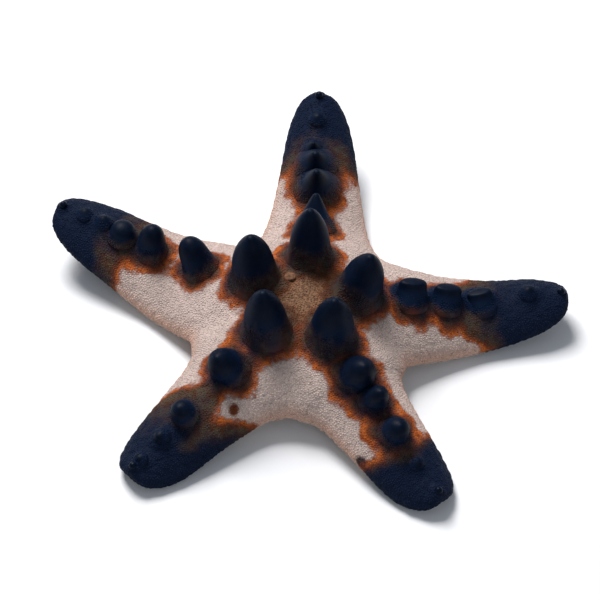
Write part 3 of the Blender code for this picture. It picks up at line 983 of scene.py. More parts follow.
    def _spot(self, spot: Spot, points: Array, ragged: Array) -> Array:
        """How dark, brown and rust a small spot makes the points.

        Args:
            spot: The spot.
            points: Places relative to the disc's centre.
            ragged: How uneven an edge is at each, in metres.

        Returns:
            The three shares of each point.
        """
        away = points - np.array(spot.place)
        ahead = away @ unit(spot.azimuth)
        aside = np.linalg.norm(away - ahead[:, None] * unit(spot.azimuth), axis=1)
        share = np.hypot(ahead / spot.along, aside / spot.across)
        share = share * (1 + self.spot_raggedness * ragged)
        cover, rim = ramp(share, *self.spot_edge), ramp(share, *self.spot_rim)
        return np.stack((cover * spot.dark, cover * spot.brown, rim * spot.rust), axis=1)


# -------------------- finishes


@dataclass(frozen=True)
class Pigments:
    """The animal's colours, as linear red, green and blue."""

    tan: Colour = (0.560, 0.448, 0.405)
    tan_deep: Colour = (0.320, 0.248, 0.220)
    peach: Colour = (0.560, 0.330, 0.240)
    ochre: Colour = (0.215, 0.110, 0.055)
    rust: Colour = (0.470, 0.118, 0.024)
    rust_deep: Colour = (0.200, 0.042, 0.013)
    brown: Colour = (0.068, 0.030, 0.016)
    olive: Colour = (0.080, 0.056, 0.036)
    dark: Colour = (0.0022, 0.0088, 0.0280)
    below: Colour = (0.600, 0.440, 0.330)


PIGMENTS = Pigments()


def node(tree: NodeTree, kind: str, **settings: object) -> Node:
    """A new node with its settings."""
    made = tree.nodes.new(kind)
    for key, value in settings.items():
        setattr(made, key, value)
    return made


def feed(tree: NodeTree, socket: Socket, value: Socket | Colour | float) -> None:
    """Links a socket to another one, or sets its number or colour."""
    if isinstance(value, Socket):
        tree.links.new(value, socket)
    else:
        socket.default_value = value if isinstance(value, float) else (*value, 1.0)


def mix(tree: NodeTree, share: Socket, first: Socket | Colour, second: Socket | Colour) -> Socket:
    """A mix of two colours by a share."""
    made = node(tree, "ShaderNodeMix", data_type="RGBA", clamp_factor=True)
    for index, value in ((0, share), (6, first), (7, second)):
        feed(tree, made.inputs[index], value)
    return made.outputs[2]


def times(tree: NodeTree, first: Socket, second: Socket | float) -> Socket:
    """The product of two values."""
    made = node(tree, "ShaderNodeMath", operation="MULTIPLY")
    feed(tree, made.inputs[0], first)
    feed(tree, made.inputs[1], second)
    return made.outputs[0]


def speckle(tree: NodeTree, size: float, detail: float, offset: float = 0.0) -> Socket:
    """Noise over the piece's own place.

    Args:
        tree: The material's nodes.
        size: Width of a lump.
        detail: How many finer layers it has.
        offset: Where in the noise it begins.

    Returns:
        The noise, mostly between 0.3 and 0.7.
    """
    place = node(tree, "ShaderNodeTexCoord")
    shift = node(tree, "ShaderNodeMapping")
    shift.inputs["Location"].default_value = (offset, offset, offset)
    tree.links.new(place.outputs["Object"], shift.inputs["Vector"])
    made = node(tree, "ShaderNodeTexNoise")
    made.inputs["Scale"].default_value = 1.0 / size
    made.inputs["Detail"].default_value = detail
    tree.links.new(shift.outputs["Vector"], made.inputs["Vector"])
    return made.outputs["Fac"]


def between(tree: NodeTree, share: Socket, first: float, second: float) -> Socket:
    """A value that goes from the first to the second with a share."""
    made = node(tree, "ShaderNodeMapRange")
    made.inputs["To Min"].default_value = first
    made.inputs["To Max"].default_value = second
    tree.links.new(share, made.inputs["Value"])
    return made.outputs["Result"]


def spread(tree: NodeTree, value: Socket, low: float, high: float) -> Socket:
    """A value taken smoothly from a range to 0 and 1."""
    made = node(tree, "ShaderNodeMapRange", interpolation_type="SMOOTHSTEP")
    made.inputs["From Min"].default_value = low
    made.inputs["From Max"].default_value = high
    tree.links.new(value, made.inputs["Value"])
    return made.outputs["Result"]


def fresh_material(name: str) -> tuple[Material, Node]:
    """A new material and its Principled shader."""
    material = bpy.data.materials.new(name)
    material.use_nodes = True
    return material, material.node_tree.nodes["Principled BSDF"]


def three_of(tree: NodeTree, name: str) -> tuple[Socket, Socket, Socket]:
    """The three values stored at a mesh's points under a name."""
    stored = node(tree, "ShaderNodeAttribute", attribute_name=name)
    parted = node(tree, "ShaderNodeSeparateColor")
    tree.links.new(stored.outputs["Color"], parted.inputs["Color"])
    return parted.outputs[0], parted.outputs[1], parted.outputs[2]


def marked_colour(tree: NodeTree, grain_share: float) -> tuple[Socket, Socket]:
    """The animal's colour from its markings, which skin, granules and horns share.

    Args:
        tree: The material's nodes.
        grain_share: How strongly fine dark grains show in the pale ground.

    Returns:
        The colour, and how dark the marking is.
    """
    dark, brown, rust = three_of(tree, "Marking")
    centre, margin, under = three_of(tree, "Ground")
    broad = spread(tree, speckle(tree, 0.0070, 3.0), 0.38, 0.66)
    middling = spread(tree, speckle(tree, 0.0022, 3.0, 1.0), 0.38, 0.62)
    fine = spread(tree, speckle(tree, 0.0006, 2.0, 3.0), 0.40, 0.64)
    earth = mix(tree, times(tree, fine, 0.75), PIGMENTS.ochre, PIGMENTS.brown)
    colour = PIGMENTS.tan
    for cover, strength, over in (
        (fine, grain_share, PIGMENTS.tan_deep),
        (broad, 0.16, PIGMENTS.tan_deep),
        (margin, 0.70, PIGMENTS.peach),
        (under, 0.85, PIGMENTS.below),
        (centre, 0.95, earth),
    ):
        colour = mix(tree, times(tree, cover, strength), colour, over)
    colour = mix(tree, brown, colour, mix(tree, middling, PIGMENTS.brown, PIGMENTS.olive))
    glow = times(tree, spread(tree, rust, 0.45, 1.0), spread(tree, middling, 1.35, -0.1))
    colour = mix(tree, rust, colour, mix(tree, glow, PIGMENTS.rust_deep, PIGMENTS.rust))
    return mix(tree, dark, colour, PIGMENTS.dark), dark


@dataclass(frozen=True)
class LivingFinish:
    """The marked finish that the skin and all its granules share."""

    name: str
    lift: float
    grain_share: float
    roughness: float
    dark_roughness: float
    specular: float = 0.05

    def make(self) -> Material:
        """Builds the material.

        Returns:
            The finished material.
        """
        material, shader = fresh_material(self.name)
        tree = material.node_tree
        colour, dark = marked_colour(tree, self.grain_share)
        light = node(tree, "ShaderNodeAttribute", attribute_name="Lightness")
        scaled = node(tree, "ShaderNodeHueSaturation")
        tree.links.new(times(tree, light.outputs["Fac"], self.lift), scaled.inputs["Value"])
        tree.links.new(colour, scaled.inputs["Color"])
        tree.links.new(scaled.outputs["Color"], shader.inputs["Base Color"])
        rough = between(tree, dark, self.roughness, self.dark_roughness)
        tree.links.new(rough, shader.inputs["Roughness"])
        shader.inputs["Specular IOR Level"].default_value = self.specular
        return material


@dataclass(frozen=True)
class HornFinish:
    """Horn: marked like the skin at its foot, and smooth blue-black above."""

    name: str = "horn_blue_black"
    tip: Colour = (0.0010, 0.0036, 0.0120)
    bloom: Colour = (0.0026, 0.0080, 0.0215)
    roughness: float = 0.48
    foot_roughness: float = 0.65
    specular: float = 0.06
    grain_share: float = 0.6
    bloom_share: float = 0.45
    smooth_above: Pair = (0.35, 0.85)
    grain_size: float = 0.0004
    grain_depth: float = 0.0001
    grain_strength: float = 0.35

    def make(self) -> Material:
        """Builds the material.

        Returns:
            The finished material.
        """
        material, shader = fresh_material(self.name)
        tree = material.node_tree
        marked, _ = marked_colour(tree, self.grain_share)
        height = node(tree, "ShaderNodeAttribute", attribute_name="Lightness")
        patch = spread(tree, speckle(tree, 0.0020, 3.0), 0.35, 0.70)
        upper = spread(tree, height.outputs["Fac"], *self.smooth_above)
        blue = mix(tree, times(tree, patch, self.bloom_share), self.tip, self.bloom)
        tree.links.new(mix(tree, upper, marked, blue), shader.inputs["Base Color"])
        rough = between(tree, upper, self.foot_roughness, self.roughness)
        tree.links.new(rough, shader.inputs["Roughness"])
        shader.inputs["Specular IOR Level"].default_value = self.specular
        bump = node(tree, "ShaderNodeBump")
        bump.inputs["Strength"].default_value = self.grain_strength
        bump.inputs["Distance"].default_value = self.grain_depth
        tree.links.new(speckle(tree, self.grain_size, 2.0, 5.0), bump.inputs["Height"])
        tree.links.new(bump.outputs["Normal"], shader.inputs["Normal"])
        return material


@dataclass(frozen=True)
class PlainFinish:
    """One colour with a little mottling."""

    name: str
    colour: Colour
    deep: Colour
    size: float
    roughness: float

    def make(self) -> Material:
        """Builds the material.

        Returns:
            The finished material.
        """
        material, shader = fresh_material(self.name)
        tree = material.node_tree
        mottle = spread(tree, speckle(tree, self.size, 2.0), 0.35, 0.65)
        tree.links.new(mix(tree, mottle, self.colour, self.deep), shader.inputs["Base Color"])
        shader.inputs["Roughness"].default_value = self.roughness
        return material


# -------------------- the skin


@dataclass(frozen=True)
class Valley:
    """The cage's line between two arms: half their angle, and its points over and under."""

    turn: float
    top: list[int]
    under: list[int]


@dataclass
class Skin:
    """The one skin over disc and arms, with its low relief."""

    body: Body
    horns: list[Horn]
    markings: Markings
    coat_depth: float = 0.00014
    collar: float = 0.0009
    collar_base: float = 0.006
    collar_reach: float = 1.75
    collar_full: float = 0.75
    collar_span: float = 2.5
    tent_skirt: Pair = (1.95, 0.18)
    stump_skirt: Pair = (1.80, 0.34)
    stud_collar: float = 0.50
    stud_reach: float = 2.1
    bead_collar: float = 0.00055
    bead_reach: float = 2.6
    bead_full: float = 0.9
    bead_lift: Pair = (0.5, 0.85)
    plate_size: float = 0.0026
    plate_relief: float = 0.00016
    plate_level: float = 0.7
    plate_wall: float = 0.35
    wave_size: float = 0.0075
    wave_relief: float = 0.00018
    relief_edge: Pair = (-0.1, 0.4)
    under_relief: float = 0.35
    margin_pitch: float = 0.0031
    margin_relief: float = 0.00026
    margin_level: float = 0.7
    margin_rows: tuple[Pair, ...] = ((0.12, 0.20), (-0.32, 0.18))
    smoothing: int = 3
    floor_gap: float = 0.00016
    points: list[Array] = field(default_factory=list)
    upper: list[float] = field(default_factory=list)
    faces: list[tuple[int, ...]] = field(default_factory=list)

    def _add(self, point: Array, upper: float) -> int:
        """Adds a point of the cage and returns its number."""
        self.points.append(point)
        self.upper.append(upper)
        return len(self.points) - 1

    def _strip(self, first: list[int], second: list[int]) -> None:
        """Joins two rows of the cage by faces."""
        for index in range(len(first) - 1):
            self.faces.append((first[index], first[index + 1], second[index + 1], second[index]))

    def _fan(self, pole: int, row: list[int]) -> None:
        """Joins a row of the cage to one point."""
        for index in range(len(row) - 1):
            self.faces.append((pole, row[index], row[index + 1]))

    def _valley(self, arm: ArmPlan) -> Valley:
        """Draws the line between an arm and the one after it.

        Args:
            arm: The arm.

        Returns:
            The line, out to the notch.
        """
        body = self.body
        turn = math.radians(body.half_turn(arm))
        out = unit(body.notch_azimuth(arm))
        margin = body.notch_margin(arm)
        top, under = [], []
        for at in body.disc_rows:
            radius = body.arm_length * at / math.cos(turn)
            top.append(self._add(out * radius + rise(body.valley_height(radius, margin)), 1.0))
            under.append(self._add(out * radius + rise(body.valley_floor(arm, at)), -1.0))
        notch = self._add(out * body.notch + rise(margin), 0.0)
        return Valley(turn, [*top, notch], [*under, notch])

    def _disc_row(
        self, arm: ArmPlan, row: int, left: Valley, right: Valley
    ) -> tuple[list[int], list[int]]:
        """Draws one arm's share of the disc at a row.

        Args:
            arm: The arm.
            row: The row's number, from the middle of the disc out; the last is in the notches.
            left: The line between the arm and the one after it.
            right: The line between the arm and the one before it.

        Returns:
            The row's points over and under the disc, from left to right.
        """
        body = self.body
        last = row == len(body.disc_rows)
        turns = (math.cos(left.turn) + math.cos(right.turn)) / 2
        at = body.notch / body.arm_length * turns if last else body.disc_rows[row]
        reach = body.arm_length * at
        high, low = body.ridge(arm, at), body.underside(arm, at)
        axis, side = unit(arm.azimuth), unit(arm.azimuth + 90)

        def point(across: float, height: float, upper: float) -> int:
            """Adds a point across the arm."""
            return self._add(axis * reach + side * across + rise(height), upper)

        def flank(sign: int, valley: Valley) -> int:
            """Adds the point between the ridge and a valley."""
            across, share = body.flank
            edge = self.points[valley.top[row]][2]
            height = edge + (high - edge) * (share - body.margin_up) / (1 - body.margin_up)
            return point(sign * across * reach * math.tan(valley.turn), height, 1.0)

        def belly(sign: int, valley: Valley) -> list[int]:
            """Adds the points between a valley and the groove."""
            half = reach * math.tan(valley.turn)
            lip = body.groove_half(at, half)
            outer = point(sign * half * body.belly_across, low, -1.0)
            return [outer, point(sign * lip, low, -1.0)]

        over = [flank(1, left), point(0.0, high, 1.0), flank(-1, right)]
        roof = point(0.0, low + body.thickness(at) * body.groove_depth, -1.0)
        under = belly(1, left) + [roof] + belly(-1, right)[::-1]
        over = [left.top[row], *over, right.top[row]]
        return over, [left.under[row], *under, right.under[row]]

    def _arm_loop(self, arm: ArmPlan, at: float) -> list[int]:
        """Draws a loop round an arm, from its left margin over the ridge.

        Args:
            arm: The arm.
            at: Station.

        Returns:
            The ten points' numbers.
        """
        body = self.body
        half, low = float(body.arm_half(arm, at)), body.underside(arm, at)
        thick, lip = body.thickness(at), body.groove_half(at, half)
        across, share = body.flank
        section = (
            (half, thick * body.margin_up, 0.0),
            (half * across, thick * share, 1.0),
            (0.0, thick, 1.0),
            (-half * across, thick * share, 1.0),
            (-half, thick * body.margin_up, 0.0),
            (-half * body.belly_across, 0.0, -1.0),
            (-lip, 0.0, -1.0),
            (0.0, thick * body.groove_depth, -1.0),
            (lip, 0.0, -1.0),
            (half * body.belly_across, 0.0, -1.0),
        )
        return [
            self._add(body.place(arm, at, across, low + height), upper)
            for across, height, upper in section
        ]

    def _draw_cage(self) -> None:
        """Draws the whole animal as one coarse cage."""
        body = self.body
        valleys = [self._valley(arm) for arm in ARMS]
        crown = self._add(rise(body.clearance + body.disc_height), 1.0)
        mouth = self._add(rise(body.clearance + body.mouth_depth), -1.0)
        for index, arm in enumerate(ARMS):
            left, right = valleys[index], valleys[index - 1]
            over, under = self._disc_row(arm, 0, left, right)
            self._fan(crown, over)
            self._fan(mouth, under[::-1])
            for row in range(1, len(body.disc_rows) + 1):
                next_over, next_under = self._disc_row(arm, row, left, right)
                self._strip(over, next_over)
                self._strip(next_under, under)
                over, under = next_over, next_under
            loop = over + under[-2:0:-1]
            for at in body.arm_rows:
                next_loop = self._arm_loop(arm, at)
                self._strip(loop + loop[:1], next_loop + next_loop[:1])
                loop = next_loop
            height = body.underside(arm, 1.0) + body.thickness(1.0) / 2
            tip = self._add(body.place(arm, 1.0, 0.0, height), 0.0)
            self._fan(tip, (loop + loop[:1])[::-1])

    def _unwrap(self, piece: Object) -> None:
        """Opens the cage along its margin and lays back and underside out flat.

        Args:
            piece: The cage.
        """
        take(piece)
        mesh = piece.data
        upper = np.array(self.upper)
        for edge in mesh.edges:
            edge.use_seam = bool(np.all(upper[list(edge.vertices)] == 0.0))
        bpy.ops.object.mode_set(mode="EDIT")
        bpy.ops.mesh.select_all(action="SELECT")
        bpy.ops.mesh.normals_make_consistent(inside=False)
        mesh.uv_layers.new(name="OFBake")
        bpy.ops.uv.unwrap(method="ANGLE_BASED", margin=0.01)
        bpy.ops.object.mode_set(mode="OBJECT")

    def _refine(self, piece: Object) -> None:
        """Smooths the cage, and halves the faces of the back once more.

        Args:
            piece: The cage.
        """
        smooth = piece.modifiers.new("smooth", "SUBSURF")
        smooth.levels = smooth.render_levels = self.smoothing
        apply_all(piece)
        mesh = piece.data
        upper = values_of(mesh, "Upper")
        bpy.ops.object.mode_set(mode="EDIT")
        bpy.ops.mesh.select_all(action="DESELECT")
        bpy.ops.object.mode_set(mode="OBJECT")
        for face in mesh.polygons:
            face.select = bool(upper[list(face.vertices)].min() > BACK_FROM)
        bpy.ops.object.mode_set(mode="EDIT")
        bpy.ops.mesh.select_mode(type="FACE")
        bpy.ops.mesh.subdivide(number_cuts=1, smoothness=0.0)
        bpy.ops.object.mode_set(mode="OBJECT")

    def _collars(self, points: Array) -> Array:
        """How far the skin is drawn up round each horn and each eye's bead.

        Args:
            points: Places relative to the disc's centre.

        Returns:
            The shift of each point.
        """
        lift = np.zeros((len(points), 3))
        for horn in self.horns:
            base = horn.plan.base
            if horn.is_stud:
                reach, height = self.stud_reach, self.stud_collar * horn.plan.height
            elif horn.is_skirted:
                reach, share = self.tent_skirt if horn.form is HornForm.TENT else self.stump_skirt
                height = share * horn.plan.height
            else:
                reach, height = self.collar_reach, self.collar * base / self.collar_base
            along, off = horn.split(points)
            near = (np.abs(along) < self.collar_span * base) & (off < reach * base)
            share = ramp(off / base, reach, self.collar_full) * near
            lift += share[:, None] * horn.axis * height
        for arm in ARMS:
            middle, size = box_of(f"eye_plate_{arm.name}")
            off = np.linalg.norm(points - (middle - self.body.centre), axis=1)
            share = ramp(off / (size[2] / 2), self.bead_reach, self.bead_full)
            outward = unit(arm.azimuth) * self.bead_lift[0] + rise(self.bead_lift[1])
            lift += share[:, None] * outward * self.bead_collar
        return lift

    def _relief(self, points: Array, upper: Array) -> Array:
        """Height of the skin's low relief.

        Args:
            points: Places relative to the disc's centre.
            upper: 1 on the back, 0 at the margin and -1 on the underside.

        Returns:
            The height at each point.
        """
        back = ramp(upper, *self.relief_edge)
        plates = ramp(cell_walls(points, self.plate_size, 4.0), 0.0, self.plate_wall)
        waves = grain(points, self.wave_size, 5.0)
        relief = self.wave_relief * waves + self.plate_relief * (plates - self.plate_level)
        relief = relief * (self.under_relief + (1 - self.under_relief) * back)
        return relief + self.margin_relief * self._margin_plates(points, upper)

    def _margin_plates(self, points: Array, upper: Array) -> Array:
        """Two rows of blunt plates along the margin of arms and disc.

        Args:
            points: Places relative to the disc's centre.
            upper: 1 on the back, 0 at the margin and -1 on the underside.

        Returns:
            How much of the plates' relief each point has.
        """
        bumps = np.zeros(len(points))
        owner = self.body.arm_of(points)
        for index, arm in enumerate(ARMS):
            mine = owner == index
            at, _ = self.body.stations(arm, points[mine])
            phase = at * arm.length / self.margin_pitch * math.pi
            bumps[mine] = np.sqrt(np.abs(np.sin(phase))) - self.margin_level
        return bumps * sum(bell(upper, *row) for row in self.margin_rows)

    def build(self) -> Object:
        """Models the skin.

        Returns:
            The skin.
        """
        self._draw_cage()
        mesh = bpy.data.meshes.new("skin")
        mesh.from_pydata([tuple(point) for point in self.points], [], self.faces)
        add_values(mesh, "Upper", np.array(self.upper))
        piece = new_object("skin", mesh)
        self._unwrap(piece)
        self._refine(piece)
        mesh = piece.data
        points, upper = positions(mesh), values_of(mesh, "Upper")
        set_positions(mesh, points + self._collars(points))
        points, outward = positions(mesh), vectors(mesh, "normal")
        points += outward * (self._relief(points, upper) - self.coat_depth)[:, None]
        points[:, 2] = np.maximum(points[:, 2], self.floor_gap)
        set_positions(mesh, points)
        marks, grounds = self.markings.paint(points, upper)
        write_marks(mesh, marks, grounds, np.ones(len(points)))
        set_positions(mesh, points + self.body.centre)
        # The skin's lift of 0.90, below the granules' 1.0, makes the ground showing between the
        # granules darker: painted shade in the gaps between them, together with the darker ground
        # round the pores.
        finish = LivingFinish(
            "sea_star_skin", lift=0.90, grain_share=0.45, roughness=0.75, dark_roughness=0.65
        )
        dress(piece, finish.make())
        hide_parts("disc", *(f"arm_{arm.name}" for arm in ARMS))
        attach(piece, "root")
        return piece


# -------------------- horns


@dataclass
class Horns:
    """Smooth horns and studs, one piece for each arm's row and one for the disc's ring."""

    body: Body
    horns: list[Horn]
    markings: Markings
    segments: int = 32
    lump: float = 0.040
    lump_size: float = 0.9

    def _copy(self, horn: Horn, master: Array, seed: int) -> Array:
        """Stands a master in a horn's place, at its size and a little uneven.

        Args:
            horn: The horn.
            master: The points of its outline's master.
            seed: Which unevenness.

        Returns:
            The points, relative to the disc's centre.
        """
        base, height = horn.plan.base, horn.plan.height
        shaped = master * (base, base, height)
        wobble = grain(shaped + seed * 0.05, base * self.lump_size, 6.0)
        ring = np.clip(master[:, 2], 0.0, 1.0)
        swell = 1 + self.lump * wobble * (1 - ring**4)
        shaped[:, :2] *= swell[:, None]
        off = shaped * (1.0, 1.0, 0.0) @ standing(horn.axis, seed * 2.4).T
        return horn.pinched(off, master[:, 2]) + shaped[:, 2:] * horn.axis + horn.root

    def build(self) -> list[Object]:
        """Models every horn.

        Returns:
            A piece for the disc and for each arm.
        """
        finish = HornFinish().make()
        masters = {
            form: turned_master(f"{form.name.lower()}_master", form.value, self.segments)
            for form in HornForm
        }
        pieces = []
        groups = [("horns_disc", [horn for horn in self.horns if horn.number == 0])]
        for arm in ARMS:
            row = [horn for horn in self.horns if horn.arm is arm and horn.number > 0]
            groups.append((f"horns_arm_{arm.name}", row))
        for name, group in groups:
            copies = []
            for seed, horn in enumerate(group):
                mesh = masters[horn.form].data.copy()
                shares = positions(mesh)
                points = self._copy(horn, shares, seed + len(pieces) * 7)
                set_positions(mesh, points + self.body.centre)
                marks, grounds = self.markings.paint(points, np.ones(len(points)))
                write_marks(mesh, marks, grounds, np.clip(shares[:, 2], 0.0, 1.0))
                copies.append(new_object(f"{name}_{seed}", mesh))
            piece = joined(copies)
            piece.name = name
            dress(piece, finish)
            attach(piece, "root")
            pieces.append(piece)
        for master in masters.values():
            remove(master)
        return pieces


# -------------------- granules


# The share of a bake map's width that is left free at its edge, and the share that is used.
MAP_MARGIN, MAP_WIDTH = 0.02, 0.96
# Nearly a full turn, in radians: how far a copy may be spun.
SPIN = 6.28


@dataclass
class Sample:
    """Places spread over the skin, with what a copy that stands there needs to know.

    Outward is the skin's normal, a root the place on the skin's bake map, and upper 1 on the back,
    0 at the margin and -1 on the underside.
    """

    places: Array
    outward: Array
    roots: Array
    upper: Array

    def kept(self, which: Array) -> "Sample":
        """The places of a choice."""
        return Sample(
            self.places[which], self.outward[which], self.roots[which], self.upper[which]
        )

    def map_places(self) -> Array:
        """The roots, spread over a piece's own bake map."""
        low, high = self.roots.min(axis=0), self.roots.max(axis=0)
        return MAP_MARGIN + MAP_WIDTH * (self.roots - low) / (high - low).max()

    def with_more(self, other: "Sample") -> "Sample":
        """These places and another sample's.

        Args:
            other: The sample to add.

        Returns:
            A sample of both.
        """
        return Sample(
            np.concatenate((self.places, other.places)),
            np.concatenate((self.outward, other.outward)),
            np.concatenate((self.roots, other.roots)),
            np.concatenate((self.upper, other.upper)),
        )


@dataclass
class Spreader:
    """Spreads places evenly at random over the skin."""

    skin: Object
    seed: int = 11
    tries: float = 5.0

    def __post_init__(self) -> None:
        """Reads the skin once."""
        mesh = self.skin.data
        self.tris = triangles(mesh)
        loops = np.empty(len(mesh.loop_triangles) * 3, np.int32)
        mesh.loop_triangles.foreach_get("loops", loops)
        flat = np.empty(len(mesh.loops) * 2, np.float32)
        mesh.uv_layers["OFBake"].data.foreach_get("uv", flat)
        self.flat = flat.reshape(-1, 2)[loops.reshape(-1, 3)].astype(float)
        self.points, self.normals = positions(mesh), vectors(mesh, "normal")
        self.upper = values_of(mesh, "Upper")
        a, b, c = (self.points[self.tris[:, i]] for i in range(3))
        self.areas = np.linalg.norm(np.cross(b - a, c - a), axis=1) / 2
        self.tree = BVHTree.FromPolygons(self.points.tolist(), self.tris.tolist())

    def nearest(self, points: Array) -> tuple[Sample, Array]:
        """Finds points on the skin.

        Args:
            points: The points.

        Returns:
            The skin's nearest places, and how far each point is above the skin.
        """
        hits = [self.tree.find_nearest(Vector(point)) for point in points]
        chosen = np.array([hit[2] for hit in hits], int)
        spots = np.array([tuple(hit[0]) for hit in hits]).reshape(-1, 3)
        corners = self.tris[chosen]
        a, b, c = (self.points[corners[:, i]] for i in range(3))
        first, second, third = b - a, c - a, spots - a
        aa, ab, bb = (first * first).sum(1), (first * second).sum(1), (second * second).sum(1)
        ca, cb = (third * first).sum(1), (third * second).sum(1)
        scale = np.maximum(aa * bb - ab * ab, 1e-30)
        v, w = (bb * ca - ab * cb) / scale, (aa * cb - ab * ca) / scale
        sample = self._sample(np.stack((1 - v - w, v, w), axis=1), chosen)
        return sample, ((points - spots) * sample.outward).sum(1)

    def from_below(self, points: Array) -> tuple[Sample, Array]:
        """The skin's places straight above points, and which points have one."""
        found = [self.tree.ray_cast(Vector(point), Vector((0.0, 0.0, 1.0)))[0] for point in points]
        hit = np.array([spot is not None for spot in found])
        return self.nearest(np.array([tuple(spot) for spot in found if spot is not None]))[0], hit

    def _sample(self, shares: Array, chosen: Array) -> Sample:
        """Finds places inside triangles of the skin.

        Args:
            shares: The corners' shares of each place.
            chosen: Numbers of the triangles.

        Returns:
            The places.
        """
        corners = self.tris[chosen]
        outward = np.einsum("nk,nki->ni", shares, self.normals[corners])
        outward /= np.linalg.norm(outward, axis=1, keepdims=True)
        return Sample(
            np.einsum("nk,nki->ni", shares, self.points[corners]),
            outward,
            np.einsum("nk,nki->ni", shares, self.flat[chosen]),
            np.einsum("nk,nk->n", shares, self.upper[corners]),
        )

    def spread(self, spacing: float, keep: Array) -> Sample:
        """Places at least a spacing apart on the kept triangles.

        Args:
            spacing: Least distance between two places.
            keep: For each triangle of the skin, whether places may lie on it.

        Returns:
            The places.
        """
        draw = np.random.default_rng(self.seed)
        weights = self.areas * keep
        count = int(weights.sum() / spacing**2 * self.tries)
        chosen = draw.choice(len(weights), count, p=weights / weights.sum())
        first, second = draw.random(count), draw.random(count)
        folded = first + second > 1
        first[folded], second[folded] = 1 - first[folded], 1 - second[folded]
        shares = np.stack((1 - first - second, first, second), axis=1)
        sample = self._sample(shares, chosen)
        return sample.kept(self.thin(sample.places, spacing))

    @staticmethod
    def thin(places: Array, spacing: float) -> Array:
        """Thins places so that no two are too near.

        Args:
            places: The places, the first ones being preferred.
            spacing: Least distance between two.

        Returns:
            Numbers of the places that are kept.
        """
        cells = np.floor(places / spacing).astype(int)
        taken: dict[tuple[int, int, int], list[int]] = {}
        kept = []
        steps = [(x, y, z) for x in (-1, 0, 1) for y in (-1, 0, 1) for z in (-1, 0, 1)]
        limit = spacing**2
        spots = places.tolist()
        for index, (i, j, k) in enumerate(cells.tolist()):
            x, y, z = spots[index]
            near = False
            for a, b, c in steps:
                for other in taken.get((i + a, j + b, k + c), ()):
                    u, v, w = spots[other]
                    if (x - u) ** 2 + (y - v) ** 2 + (z - w) ** 2 < limit:
                        near = True
                        break
                if near:
                    break
            if not near:
                taken.setdefault((i, j, k), []).append(index)
                kept.append(index)
        return np.array(kept)


